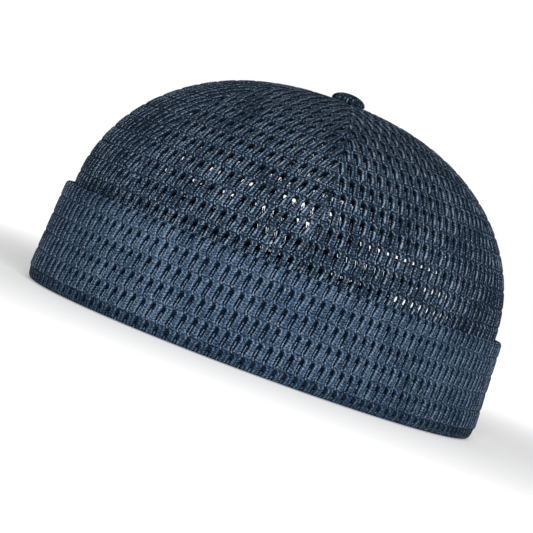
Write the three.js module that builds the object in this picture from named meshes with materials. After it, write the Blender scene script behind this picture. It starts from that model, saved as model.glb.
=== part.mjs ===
// Docker cap: a brimless six-panel cap of open mesh knit with a turned-up cuff,
// a plain sweatband and a webbing strap with a slide buckle across the back opening.
// Millimetres, +Z up. The front of the cap faces -Y and the rim rests on z = 0.
// A turn is the angle round the oval from the front centre towards +X, and an inset
// is how far a layer lies inside the outer face of the rim.

import * as THREE from "three";

// Rim, an oval seen from above
const RIM_HALF_WIDTH = 88;
const RIM_HALF_LENGTH = 101;
const WALL_LEAN = 2.3; // how far the band leans inwards over the height of the cuff
const LAYER_GAP = 0.3;

// Cuff, a folded band whose outer leaf shows four rows of mesh
const CUFF_HEIGHT = 41;
const CUFF_LEAF = 1.2;
const CUFF_INNER_LEAF = 1.0;
const CUFF_CAVITY = 0.7;
const CUFF_STRIP = 5; // plain strip between the rim and the first row
const CUFF_ROWS = 4;
const CUFF_ROW_HEIGHT = 7.4;
const ROW_DIP = 0.35; // depth of the dip between two rows
const SHOULDER_DIP = 0.1; // inset of the leaf where it starts to fold over
const CUFF_HEM = 3.2; // height of the free lower edge of the inner leaf
const CUFF_LEAF_BREAKS = [16, 28]; // heights that split the tall flat faces of the leaves
const CUFF_COLUMNS = 54;
const CUFF_FOLD_ANGLES = [40, 90, 140]; // degrees round the top fold where its facets meet
const CUFF_SHOULDER_DROP = 3.2; // from the top of the fold down to the end of the last row
const CUFF_CAVITY_DROP = 2.9; // from the top of the fold down to where the cavity rounds over
const CUFF_CAVITY_ROUND = 0.6; // rise of the cavity's rounded top

// Foot of the cuff, which curls in under the crown: its two faces from the inside out
const CUFF_CURL = [
  { outerInset: 4.8, outerHeight: 0, innerInset: 4.8, innerHeight: 1.2 },
  { outerInset: 2.4, outerHeight: 0, innerInset: 2.7, innerHeight: 1.2 },
  { outerInset: 1.1, outerHeight: 0.8, innerInset: 1.9, innerHeight: 2.1 },
  { outerInset: 0.4, outerHeight: 2.5, innerInset: 1.4, innerHeight: 3.4 },
];

// Crown, six gores whose side outline is a superellipse
const CROWN_WALL = 1.3;
const CROWN_INSET = CUFF_LEAF + CUFF_CAVITY + CUFF_INNER_LEAF + LAYER_GAP + 0.2;
const CROWN_FOOT = 1.6;
const CROWN_SPRING = CUFF_HEIGHT; // height where the wall starts to round over
const CROWN_TOP = 108;
const CROWN_PLAN_POWER = 2.3;
const CROWN_RISE_POWER = 1.95;
const CROWN_TIP_REACH = 0.03; // the gores end here, under the button
const SEAM_GAP = 0.3;
const PANEL_COLUMNS = 10;
const PANEL_DOME_ROWS = 10;

// Heights of a gore's rows between its foot, the spring of the dome and the top of the opening
const PLAIN_ROWS = { belowSpring: [14, 28], aboveSpring: [46] };
const ARCHED_ROWS = { belowSpring: [12, 23, 33], aboveSpring: [45, 48.5, 50.8, 51.7] };

// Back opening, half an ellipse seen from behind
const OPENING_HALF_WIDTH = 40.5;
const OPENING_HEIGHT = 52;

// Sweatband
const BAND_INSET = 5.2;
const BAND_WALL = 1.0;
const BAND_FOOT = 0.5;
const BAND_TOP = 32;
const BAND_COLUMNS = 56;

// Button, with the rivet that holds the tips of the gores
const BUTTON_RADIUS = 6.8;
const BUTTON_HEIGHT = 4.0;
const BUTTON_EDGE = 1.3;
const BUTTON_CHAMFER = 0.5;
const BUTTON_DOME_ANGLES = [22, 44, 66];
const RIVET_RADIUS = 1.7;
const RIVET_PLATE_RADIUS = 5;
const RIVET_PLATE = 0.8;
const BUTTON_SIDES = 24;

// Strap across the opening
const WEBBING_WIDTH = 17.5;
const WEBBING = 1.0;
const STRAP_FOOT = 2.7;
const STRAP_INSET = BAND_INSET + BAND_WALL + LAYER_GAP + WEBBING / 2;
const STRAP_END = 51; // how far each strap reaches from the middle of the back
const WEBBING_STEP = 1.6; // length of one facet along the webbing

// Slide buckle: two slots between three bars
const BUCKLE_CENTRE = 12.5;
const BUCKLE_WIDTH = 20;
const BUCKLE_HEIGHT = 22;
const BUCKLE_THICKNESS = 2.4;
const BUCKLE_BAR = 2.6;
const BUCKLE_CORNER = 2.2;
const BUCKLE_SLOT_HEIGHT = WEBBING_WIDTH + 0.9;
const BUCKLE_SLOT_CORNER = 0.6;
const BUCKLE_BEND = 4.3; // where each half of the plate is split so that it can bend
const BUCKLE_EDGE = 0.3;

const knit = { color: 0x2c415a, roughness: 0.85, metalness: 0 };
const knitShade = { color: 0x24374d, roughness: 0.85, metalness: 0 };
const smoothBand = { color: 0x17181b, roughness: 0.8, metalness: 0 };
const webbing = { color: 0x1b1b1d, roughness: 0.75, metalness: 0 };
const plastic = { color: 0x101011, roughness: 0.4, metalness: 0 };

const degrees = THREE.MathUtils.degToRad;
const lerp = THREE.MathUtils.lerp;

/** How far the band has leaned inwards at a height. */
function lean(z) {
  return (WALL_LEAN * z) / CUFF_HEIGHT;
}

/** One point of a section: the half sizes of its oval and its height. */
function layer(inset, z) {
  const inwards = inset + lean(z);
  return { halfWidth: RIM_HALF_WIDTH - inwards, halfLength: RIM_HALF_LENGTH - inwards, z };
}

/** The point of an oval layer at a turn. */
function onOval(point, turn) {
  return new THREE.Vector3(point.halfWidth * Math.sin(turn), -point.halfLength * Math.cos(turn), point.z);
}

/** Length along the oval for one radian of turn. */
function pace(point, turn) {
  return Math.hypot(point.halfWidth * Math.cos(turn), point.halfLength * Math.sin(turn));
}

/** Half the width of the back opening at a height. */
function openingHalfWidth(z) {
  const share = Math.min(Math.max(z, 0) / OPENING_HEIGHT, 1);
  return OPENING_HALF_WIDTH * Math.sqrt(1 - share * share);
}

/** The turn, on the +X side, where a layer meets the back opening. */
function openingTurn(point) {
  return Math.PI - Math.asin(openingHalfWidth(point.z) / point.halfWidth);
}

/**
 * Sweeps a wall round the oval between two turns that may change with the wall's
 * points. Its outer and inner points are pairs, listed up the outer face, and the
 * two ends are closed between the pairs.
 */
function sweptWall(outer, inner, columns, turnsOf) {
  const section = [...outer, ...[...inner].reverse()];
  const positions = [];
  for (let column = 0; column <= columns; column += 1) {
    for (const point of section) {
      const [start, end] = turnsOf(point);
      positions.push(...onOval(point, lerp(start, end, column / columns)).toArray());
    }
  }
  const count = section.length;
  const index = [];
  for (let column = 0; column < columns; column += 1) {
    for (let i = 0; i < count; i += 1) {
      const next = (i + 1) % count;
      const near = column * count;
      const far = near + count;
      index.push(near + i, far + i, far + next);
      index.push(near + i, far + next, near + next);
    }
  }
  const last = columns * count;
  for (let i = 0; i + 1 < outer.length; i += 1) {
    const [a, b, c, d] = [i, i + 1, count - 2 - i, count - 1 - i];
    index.push(a, b, c, last + c, last + b, last + a);
    index.push(a, c, d, last + d, last + c, last + a);
  }
  const geometry = new THREE.BufferGeometry();
  geometry.setAttribute("position", new THREE.Float32BufferAttribute(positions, 3));
  geometry.setIndex(index);
  geometry.computeVertexNormals();
  return geometry;
}

/** The turns of a layer that runs round the front from one side of the opening to the other. */
function roundTheFront(point) {
  const end = openingTurn(point);
  return [-end, end];
}

/** The cuff's wall: foot, ribbed outer leaf, top fold and inner leaf, with the cavity between. */
function cuffWall() {
  const innerFace = CUFF_LEAF + CUFF_CAVITY + CUFF_INNER_LEAF;
  const cavityFace = CUFF_LEAF + CUFF_CAVITY;
  const foldRadius = innerFace / 2;
  const foldFoot = CUFF_HEIGHT - foldRadius;
  const cavityTop = CUFF_HEIGHT - CUFF_CAVITY_DROP;
  const shoulder = CUFF_HEIGHT - CUFF_SHOULDER_DROP;
  const outer = CUFF_CURL.map((row) => layer(row.outerInset, row.outerHeight));
  const inner = CUFF_CURL.map((row) => layer(row.innerInset, row.innerHeight));
  for (let half = 0; half <= 2 * CUFF_ROWS; half += 1) {
    const z = CUFF_STRIP + (half * CUFF_ROW_HEIGHT) / 2;
    outer.push(layer(half % 2 === 0 ? ROW_DIP : 0, z));
    inner.push(layer(CUFF_LEAF, z));
  }
  outer.push(layer(SHOULDER_DIP, shoulder));
  inner.push(layer(CUFF_LEAF, shoulder));
  for (const angle of CUFF_FOLD_ANGLES) {
    const out = Math.cos(degrees(angle));
    const up = Math.sin(degrees(angle));
    outer.push(layer(foldRadius - foldRadius * out, foldFoot + foldRadius * up));
    const cavityInset = (CUFF_LEAF + cavityFace) / 2 - (CUFF_CAVITY / 2) * out;
    inner.push(layer(cavityInset, cavityTop + CUFF_CAVITY_ROUND * up));
  }
  for (const z of [foldFoot, ...[...CUFF_LEAF_BREAKS].reverse(), CUFF_HEM]) {
    outer.push(layer(innerFace, z));
    inner.push(layer(cavityFace, Math.min(z, cavityTop)));
  }
  return { outer, inner };
}

/** The crown's outer half sizes at a height: a leaning band below, a rounded dome above. */
function crownOuter(z) {
  if (z <= CROWN_SPRING) {
    return layer(CROWN_INSET, z);
  }
  const base = layer(CROWN_INSET, CROWN_SPRING);
  const rise = Math.min((z - CROWN_SPRING) / (CROWN_TOP - CROWN_SPRING), 1);
  const reach = (1 - rise ** CROWN_RISE_POWER) ** (1 / CROWN_PLAN_POWER);
  return { halfWidth: base.halfWidth * reach, halfLength: base.halfLength * reach, z };
}

/** The point of the crown's inner face that lies behind a point of its outer face. */
function crownInner(z) {
  const step = 0.02;
  const justBelowTop = CROWN_TOP - 0.001;
  const below = crownOuter(z - step);
  const above = crownOuter(Math.min(z + step, justBelowTop));
  const run = (above.halfWidth + above.halfLength - below.halfWidth - below.halfLength) / 2;
  const climb = above.z - below.z;
  const length = Math.hypot(run, climb);
  const outer = crownOuter(z);
  const inwards = (CROWN_WALL * climb) / length;
  const drop = z <= CROWN_SPRING ? 0 : (-CROWN_WALL * run) / length;
  return { halfWidth: outer.halfWidth - inwards, halfLength: outer.halfLength - inwards, z: z - drop };
}

/** Heights of a gore's rows, closer together round the top of the opening where it has one. */
function panelRows(arched) {
  const { belowSpring, aboveSpring } = arched ? ARCHED_ROWS : PLAIN_ROWS;
  const lower = [CROWN_FOOT, ...belowSpring, CROWN_SPRING, ...aboveSpring, OPENING_HEIGHT];
  const height = CROWN_TOP - CROWN_SPRING;
  const start = Math.asin(((OPENING_HEIGHT - CROWN_SPRING) / height) ** (CROWN_RISE_POWER / 2));
  const end = Math.acos(CROWN_TIP_REACH ** (CROWN_PLAN_POWER / 2));
  const dome = [];
  for (let row = 1; row <= PANEL_DOME_ROWS; row += 1) {
    const angle = lerp(start, end, row / PANEL_DOME_ROWS);
    dome.push(CROWN_SPRING + height * Math.sin(angle) ** (2 / CROWN_RISE_POWER));
  }
  return [...lower, ...dome];
}

/** One gore of the crown between two seams, cut back where it meets the opening. */
function panel(seamStart, seamEnd) {
  const touchesBack = Math.abs(seamStart) === 180 || Math.abs(seamEnd) === 180;
  const rows = panelRows(touchesBack);
  return sweptWall(rows.map(crownOuter), rows.map(crownInner), PANEL_COLUMNS, (point) => {
    const turns = [degrees(seamStart), degrees(seamEnd)];
    const inside = turns.map((turn, side) => {
      const shift = SEAM_GAP / 2 / pace(point, turn);
      return side === 0 ? turn + shift : turn - shift;
    });
    const limit = openingTurn(point);
    return inside.map((turn) => THREE.MathUtils.clamp(turn, -limit, limit));
  });
}

/** The sweatband: one smooth band inside the crown, split where the cuff is. */
function sweatband() {
  const heights = [BAND_FOOT, ...CUFF_LEAF_BREAKS, BAND_TOP];
  const outer = heights.map((z) => layer(BAND_INSET, z));
  const inner = heights.map((z) => layer(BAND_INSET + BAND_WALL, z));
  return sweptWall(outer, inner, BAND_COLUMNS, roundTheFront);
}

/** The covered button with its rivet, turned about the cap's axis. */
function button() {
  const underside = CROWN_TOP + LAYER_GAP;
  const plateTop = CROWN_TOP - CROWN_WALL - LAYER_GAP;
  const profile = [
    new THREE.Vector2(0, plateTop - RIVET_PLATE),
    new THREE.Vector2(RIVET_PLATE_RADIUS, plateTop - RIVET_PLATE),
    new THREE.Vector2(RIVET_PLATE_RADIUS, plateTop),
    new THREE.Vector2(RIVET_RADIUS, plateTop),
    new THREE.Vector2(RIVET_RADIUS, underside),
    new THREE.Vector2(BUTTON_RADIUS - BUTTON_CHAMFER, underside),
    new THREE.Vector2(BUTTON_RADIUS, underside + BUTTON_CHAMFER),
    new THREE.Vector2(BUTTON_RADIUS, underside + BUTTON_EDGE),
  ];
  for (const angle of BUTTON_DOME_ANGLES) {
    const out = BUTTON_RADIUS * Math.cos(degrees(angle));
    const up = (BUTTON_HEIGHT - BUTTON_EDGE) * Math.sin(degrees(angle));
    profile.push(new THREE.Vector2(out, underside + BUTTON_EDGE + up));
  }
  profile.push(new THREE.Vector2(0, underside + BUTTON_HEIGHT));
  const geometry = new THREE.LatheGeometry(profile, BUTTON_SIDES);
  geometry.rotateX(Math.PI / 2);
  return geometry;
}

/**
 * Bends a shape that was made flat into its place at the back of the cap.
 * x runs along the strap from the middle of the back, y outwards from it and z up.
 */
function bendToBack(geometry) {
  const middle = layer(STRAP_INSET, 0);
  const position = geometry.getAttribute("position");
  for (let i = 0; i < position.count; i += 1) {
    const turn = Math.PI - Math.asin(position.getX(i) / middle.halfWidth);
    const outwards = position.getY(i) - lean(position.getZ(i));
    const point = {
      halfWidth: middle.halfWidth + outwards,
      halfLength: middle.halfLength + outwards,
      z: position.getZ(i),
    };
    const placed = onOval(point, turn);
    position.setXYZ(i, placed.x, placed.y, placed.z);
  }
  geometry.computeVertexNormals();
  return geometry;
}

/** A ribbon of webbing whose centre line is a list of [along, outwards] pairs. */
function ribbon(centreLine) {
  const spots = centreLine.map(([along, outwards]) => new THREE.Vector3(along, outwards, 0));
  const curve = new THREE.CatmullRomCurve3(spots, false, "centripetal");
  const steps = Math.round(curve.getLength() / WEBBING_STEP);
  const one = [];
  const other = [];
  for (let i = 0; i <= steps; i += 1) {
    const at = curve.getPointAt(i / steps);
    const way = curve.getTangentAt(i / steps);
    const side = new THREE.Vector2(-way.y, way.x).multiplyScalar(WEBBING / 2);
    one.push(new THREE.Vector2(at.x + side.x, at.y + side.y));
    other.unshift(new THREE.Vector2(at.x - side.x, at.y - side.y));
  }
  const shape = new THREE.Shape([...one, ...other]);
  const geometry = new THREE.ExtrudeGeometry(shape, { depth: WEBBING_WIDTH, bevelEnabled: false });
  geometry.translate(0, 0, STRAP_FOOT);
  return bendToBack(geometry);
}

/** Centre line of the fixed strap, which loops round the buckle's first bar and is sewn back. */
function fixedStrapLine() {
  const fromBuckle = [
    [-26, 0], [-16, 0], [-12.6, 0.9], [-10.6, 1.9], [-8.9, 2.1], [-7.7, 2.05], [-6.9, 1.75],
    [-6.5, 1.0], [-6.5, -1.0], [-6.9, -1.75], [-7.7, -2.05], [-8.9, -2.1], [-10.8, -1.95],
    [-13.2, -1.5], [-17, -1.4], [-25, -1.4],
  ];
  return [[-STRAP_END, 0], [-34, 0], ...fromBuckle.map(([along, out]) => [BUCKLE_CENTRE + along, out])];
}

/** Centre line of the adjusting strap, which threads both slots and leaves a tail outside. */
function adjustingStrapLine() {
  const fromBuckle = [
    [24, 0], [16, 0], [12.6, 0.9], [10.6, 1.95], [8.9, 2.15], [7.4, 2.1], [6.2, 1.7], [4.4, 0],
    [2.6, -1.6], [1.3, -2.1], [0, -2.2], [-1.3, -2.05], [-2.4, -1.5], [-3.8, 0.3], [-5.1, 2.4],
    [-6.6, 3.35], [-9, 3.55], [-11.5, 3.3], [-14, 2.4], [-17, 1.6], [-20, 1.4], [-34, 1.4],
  ];
  return [[STRAP_END, 0], ...fromBuckle.map(([along, out]) => [BUCKLE_CENTRE + along, out])];
}

/** A rectangle with rounded corners and a point every few millimetres along its long sides. */
function roundedOutline(halfWidth, halfHeight, radius, breaks) {
  const outline = [];
  const corners = [
    [1, 1, 0], [-1, 1, 90], [-1, -1, 180], [1, -1, 270],
  ];
  for (const [x, y, start] of corners) {
    for (const turn of [0, 30, 60, 90]) {
      const angle = degrees(start + turn);
      outline.push(new THREE.Vector2(
        x * (halfWidth - radius) + radius * Math.cos(angle),
        y * (halfHeight - radius) + radius * Math.sin(angle),
      ));
    }
    if (start === 0 || start === 180) {
      const along = start === 0 ? [...breaks].reverse() : breaks;
      outline.push(...along.map((at) => new THREE.Vector2(at, y * halfHeight)));
    }
  }
  return outline;
}

/** The buckle: an upright plate with two slots, bent a little to the line of the strap. */
function buckle() {
  const half = BUCKLE_WIDTH / 2;
  const slotOuter = half - BUCKLE_BAR;
  const slotInner = BUCKLE_BAR / 2;
  const breaks = [-slotOuter, -BUCKLE_BEND, -slotInner, slotInner, BUCKLE_BEND, slotOuter];
  const shape = new THREE.Shape(roundedOutline(half, BUCKLE_HEIGHT / 2, BUCKLE_CORNER, breaks));
  for (const side of [-1, 1]) {
    const middle = (side * (slotOuter + slotInner)) / 2;
    const halfSlot = (slotOuter - slotInner) / 2;
    const slot = roundedOutline(halfSlot, BUCKLE_SLOT_HEIGHT / 2, BUCKLE_SLOT_CORNER, []);
    shape.holes.push(new THREE.Path(slot.map((spot) => new THREE.Vector2(spot.x + middle, spot.y))));
  }
  const geometry = new THREE.ExtrudeGeometry(shape, {
    depth: BUCKLE_THICKNESS - 2 * BUCKLE_EDGE,
    bevelThickness: BUCKLE_EDGE,
    bevelSize: BUCKLE_EDGE,
    bevelOffset: -BUCKLE_EDGE,
    bevelSegments: 1,
  });
  geometry.rotateX(Math.PI / 2);
  const thicknessMiddle = BUCKLE_THICKNESS / 2 - BUCKLE_EDGE;
  geometry.translate(BUCKLE_CENTRE, thicknessMiddle, STRAP_FOOT + WEBBING_WIDTH / 2);
  return bendToBack(geometry);
}

const cap = new THREE.Group();

/** Adds one named piece with a material of its own. */
function addPiece(name, geometry, finish) {
  const mesh = new THREE.Mesh(geometry, new THREE.MeshStandardMaterial(finish));
  mesh.name = name;
  cap.add(mesh);
}

// The gores, by the turns of their two seams in degrees
const PANELS = [
  { name: "crown_panel_front_left", from: 0, to: 52, finish: knit },
  { name: "crown_panel_side_left", from: 52, to: 116, finish: knitShade },
  { name: "crown_panel_back_left", from: 116, to: 180, finish: knit },
  { name: "crown_panel_back_right", from: -180, to: -116, finish: knitShade },
  { name: "crown_panel_side_right", from: -116, to: -52, finish: knit },
  { name: "crown_panel_front_right", from: -52, to: 0, finish: knitShade },
];

for (const { name, from, to, finish } of PANELS) {
  addPiece(name, panel(from, to), finish);
}
addPiece("top_button", button(), knit);
const { outer: cuffOuter, inner: cuffInner } = cuffWall();
addPiece("cuff", sweptWall(cuffOuter, cuffInner, CUFF_COLUMNS, roundTheFront), knit);
addPiece("sweatband", sweatband(), smoothBand);
addPiece("fixed_strap", ribbon(fixedStrapLine()), webbing);
addPiece("adjusting_strap", ribbon(adjustingStrapLine()), webbing);
addPiece("slide_buckle", buckle(), plastic);

// The back is open, so the cap is moved until its outline is centred front to back
const outline = new THREE.Box3().setFromObject(cap, true);
cap.position.y = -(outline.min.y + outline.max.y) / 2;

export default cap;
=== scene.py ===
"""Docker cap of open mesh knit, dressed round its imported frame.

Six gores of pierced knit meet under a covered button. A cuff is turned up round the rim,
a smooth sweatband runs inside it, and two webbing straps meet at a slide buckle across
the arched back opening. Cloth is shaped in millimetres, flat first, and then laid on the
cap's oval. A turn is the angle round the oval from the front centre towards +X.
"""

import logging
import math
from collections.abc import Callable
from dataclasses import dataclass, field
from enum import Enum

import bmesh
import bpy
import numpy as np
from mathutils import Matrix, Vector


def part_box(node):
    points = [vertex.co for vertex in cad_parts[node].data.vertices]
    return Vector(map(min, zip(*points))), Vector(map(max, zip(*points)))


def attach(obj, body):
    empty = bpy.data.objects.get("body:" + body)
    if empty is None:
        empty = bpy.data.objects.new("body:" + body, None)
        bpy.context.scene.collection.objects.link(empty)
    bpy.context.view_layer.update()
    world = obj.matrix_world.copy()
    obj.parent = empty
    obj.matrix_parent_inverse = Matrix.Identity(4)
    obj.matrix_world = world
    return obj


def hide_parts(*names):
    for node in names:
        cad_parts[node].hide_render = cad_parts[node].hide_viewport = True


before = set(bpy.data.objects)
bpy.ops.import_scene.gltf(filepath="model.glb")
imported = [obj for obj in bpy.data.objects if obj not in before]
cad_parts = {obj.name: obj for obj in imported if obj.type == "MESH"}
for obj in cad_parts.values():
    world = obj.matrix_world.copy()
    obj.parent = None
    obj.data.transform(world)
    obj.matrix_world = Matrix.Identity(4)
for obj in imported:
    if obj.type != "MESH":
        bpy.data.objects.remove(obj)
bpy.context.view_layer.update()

MM = 0.001
PICTURE_SIDE = 533
log = logging.getLogger("docker_cap")


class Slot(Enum):
    """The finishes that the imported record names."""

    KNIT = "mesh_knit"
    SMOOTH = "smooth_cloth"
    WEBBING = "webbing"
    PLASTIC = "buckle_plastic"


class Held(Enum):
    """How a sheet of cloth is held."""

    STRETCHED = "stretched"
    FOLDED = "folded"


@dataclass
class Cloth:
    """A mesh in numbers: points, faces of three or four corners, and two values for each point.

    A face of three corners repeats its last one. Each point has a flat place, and a depth in the
    cloth from 0 on its crests to 1 on its inner face, which the knit's material turns into painted
    shade.
    """

    points: np.ndarray
    faces: np.ndarray
    flat: np.ndarray
    depth: np.ndarray | None = None

    def __post_init__(self) -> None:
        """Takes every point for a crest where no depths are given."""
        if self.depth is None:
            self.depth = np.zeros(len(self.points))

    def open_edges(self) -> np.ndarray:
        """Returns the edges that only one face uses, as pairs of points in that face's direction."""
        pairs = np.concatenate([self.faces[:, [i, (i + 1) % 4]] for i in range(4)])
        pairs = pairs[pairs[:, 0] != pairs[:, 1]]
        count = len(self.points)
        forward = pairs[:, 0] * count + pairs[:, 1]
        backward = pairs[:, 1] * count + pairs[:, 0]
        return pairs[~np.isin(forward, backward)]

    @staticmethod
    def joined(parts: list["Cloth"]) -> "Cloth":
        """Returns several meshes as one."""
        starts = np.cumsum([0, *(len(part.points) for part in parts)])
        return Cloth(
            np.concatenate([part.points for part in parts]),
            np.concatenate([part.faces + start for part, start in zip(parts, starts)]),
            np.concatenate([part.flat for part in parts]),
            np.concatenate([part.depth for part in parts]),
        )


def unit(vectors: np.ndarray) -> np.ndarray:
    """Returns vectors of length 1 in the same directions."""
    return vectors / np.linalg.norm(vectors, axis=-1, keepdims=True)


def line_lengths(line: np.ndarray) -> np.ndarray:
    """Returns the length along a line from its first point to each of its points."""
    return np.concatenate([[0], np.cumsum(np.linalg.norm(np.diff(line, axis=0), axis=1))])


def sampled(line: np.ndarray, lengths: np.ndarray, at: np.ndarray) -> np.ndarray:
    """Returns the points of a line at places given as lengths along it."""
    return np.stack([np.interp(at, lengths, column) for column in line.T], axis=1)


def on_oval(
    half_width: np.ndarray, half_length: np.ndarray, turn: np.ndarray, height: np.ndarray,
) -> np.ndarray:
    """Returns the points of an oval at each turn and height."""
    places = np.broadcast_arrays(half_width * np.sin(turn), -half_length * np.cos(turn), height)
    return np.stack(places, axis=-1)


def linked(name: str, data: bpy.types.ID) -> bpy.types.Object:
    """Returns a new object of the scene that holds the given data."""
    made = bpy.data.objects.new(name, data)
    bpy.context.collection.objects.link(made)
    return made


def evaluated(source: bpy.types.Object) -> bpy.types.Mesh:
    """Returns the mesh that an object shows, as a plain one."""
    bpy.context.view_layer.update()
    seen = source.evaluated_get(bpy.context.evaluated_depsgraph_get())
    return bpy.data.meshes.new_from_object(seen)


@dataclass
class CapFrame:
    """The cap's oval and profile in millimetres, with its axis at x = y = 0."""

    wall_lean: float = 2.3
    first_ridge: float = 8.7
    crown_inset: float = 3.4
    crown_foot: float = 1.6
    plan_power: float = 2.3
    rise_power: float = 1.95
    tip_reach: float = 0.03
    opening_half_width: float = 40.5
    opening_height: float = 52.0
    axis_y: float = field(init=False)
    cuff_height: float = field(init=False)
    crown_top: float = field(init=False)
    rim_half_width: float = field(init=False)
    rim_half_length: float = field(init=False)

    def __post_init__(self) -> None:
        """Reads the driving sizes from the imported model's boxes."""
        cuff_low, cuff_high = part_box("cuff")
        button_low, button_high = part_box("top_button")
        self.axis_y = (button_low.y + button_high.y) / 2 / MM
        self.cuff_height = cuff_high.z / MM
        self.crown_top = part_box("crown_panel_front_left")[1].z / MM
        ridge_lean = self.lean(self.first_ridge)
        self.rim_half_width = cuff_high.x / MM + ridge_lean
        self.rim_half_length = self.axis_y - cuff_low.y / MM + ridge_lean

    def lean(self, z: np.ndarray | float) -> np.ndarray | float:
        """Returns how far the band leans inwards at a height."""
        return self.wall_lean * z / self.cuff_height

    def layer(self, inset: np.ndarray | float, z: np.ndarray | float) -> tuple:
        """Returns the oval's half width and half length at an inset and a height."""
        inwards = inset + self.lean(z)
        return self.rim_half_width - inwards, self.rim_half_length - inwards

    def opening(self, z: np.ndarray) -> np.ndarray:
        """Returns half the width of the back opening at each height."""
        share = np.clip(np.asarray(z, float) / self.opening_height, 0, 1)
        return self.opening_half_width * np.sqrt(1 - share**2)

    def opening_turn(self, half_width: np.ndarray, z: np.ndarray) -> np.ndarray:
        """Returns the turn where a layer meets the back opening, on the +X side."""
        return np.pi - np.arcsin(np.clip(self.opening(z) / half_width, 0, 1))

    def placed(self, points: np.ndarray) -> np.ndarray:
        """Returns points of the cap's own frame in metres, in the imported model's frame."""
        return (points + np.array([0.0, self.axis_y, 0.0])) * MM


def arc_length(half_width: np.ndarray, half_length: np.ndarray, start: float, turn: np.ndarray) -> np.ndarray:
    """Works out the length along an oval between two turns.

    Args:
        half_width: half the oval's width, for each point.
        half_length: half the oval's length, for each point.
        start: the turn that the length starts from.
        turn: the turn that it ends at, for each point.

    Returns:
        The lengths, negative where the turn is before the start.
    """
    steps = 6
    total = np.zeros_like(turn)
    for i in range(steps + 1):
        at = start + (turn - start) * i / steps
        weight = 1 if i in (0, steps) else 4 if i % 2 else 2
        total += weight * np.hypot(half_width * np.cos(at), half_length * np.sin(at))
    return total * (turn - start) / steps / 3


@dataclass
class Surface:
    """A surface swept round the oval, given by tables along its path up the cap."""

    along: np.ndarray
    half_width: np.ndarray
    half_length: np.ndarray
    height: np.ndarray

    def at(self, along: np.ndarray) -> tuple:
        """Returns half width, half length and height at each place along the path."""
        tables = (self.half_width, self.half_length, self.height)
        return tuple(np.interp(along, self.along, table) for table in tables)

    def point(self, turn: np.ndarray, along: np.ndarray, proud: np.ndarray) -> np.ndarray:
        """Lays points on the surface.

        Args:
            turn: the turn of each point.
            along: its place along the path.
            proud: how far it stands out of the surface.

        Returns:
            The points, in millimetres in the cap's own frame.
        """
        width, length, height = self.at(along)
        slopes = [
            np.interp(along, self.along, np.gradient(table, self.along))
            for table in (self.half_width, self.half_length, self.height)
        ]
        sine, cosine = np.sin(turn), np.cos(turn)
        normal = unit(np.stack([
            length * slopes[2] * sine,
            -width * slopes[2] * cosine,
            -(width * slopes[1] * cosine**2 + length * slopes[0] * sine**2),
        ], axis=-1))
        return on_oval(width, length, turn, height) + normal * np.asarray(proud)[..., None]

    def turn_of(self, across: np.ndarray, along: np.ndarray, start: float) -> np.ndarray:
        """Returns the turn that lies a length across the cloth from a starting turn."""
        width, length, _ = self.at(along)
        turn = start + across / np.hypot(width * math.cos(start), length * math.sin(start))
        for _ in range(5):
            pace = np.hypot(width * np.cos(turn), length * np.sin(turn))
            turn = turn - (arc_length(width, length, start, turn) - across) / pace
        return turn


def crown_surface(cap: CapFrame) -> Surface:
    """Returns the crown's outer surface, from its foot to under the button."""
    spring = cap.cuff_height
    foot = np.linspace(cap.crown_foot, spring, 30, endpoint=False)
    base_width, base_length = cap.layer(cap.crown_inset, spring)
    end = math.acos(cap.tip_reach ** (cap.plan_power / 2))
    angle = np.linspace(0, end, 260)
    rise = np.sin(angle) ** (2 / cap.rise_power)
    reach = np.cos(angle) ** (2 / cap.plan_power)
    foot_width, foot_length = cap.layer(cap.crown_inset, foot)
    width = np.concatenate([foot_width, base_width * reach])
    length = np.concatenate([foot_length, base_length * reach])
    height = np.concatenate([foot, spring + (cap.crown_top - spring) * rise])
    return Surface(line_lengths(np.stack([(width + length) / 2, height], axis=1)), width, length, height)


def path_surface(cap: CapFrame, path: list[tuple[float, float]], step: float = 0.5) -> Surface:
    """Returns the surface swept by a path of (inset, height) pairs, with points every step."""
    corners = np.array(path, float)
    lengths = line_lengths(corners)
    along = np.unique(np.concatenate([lengths, np.arange(0, lengths[-1], step)]))
    inset, height = sampled(corners, lengths, along).T
    width, length = cap.layer(inset, height)
    return Surface(along, width, length, height)


def scraps(body: bmesh.types.BMesh, smallest: int) -> list[bmesh.types.BMFace]:
    """Returns the faces of every loose part of a mesh that has fewer faces than the smallest allowed."""
    left = set(body.faces)
    found = []
    while left:
        part = [left.pop()]
        for face in part:
            for edge in face.edges:
                beside = [other for other in edge.link_faces if other in left]
                left.difference_update(beside)
                part.extend(beside)
        if len(part) < smallest:
            found.extend(part)
    return found


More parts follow.
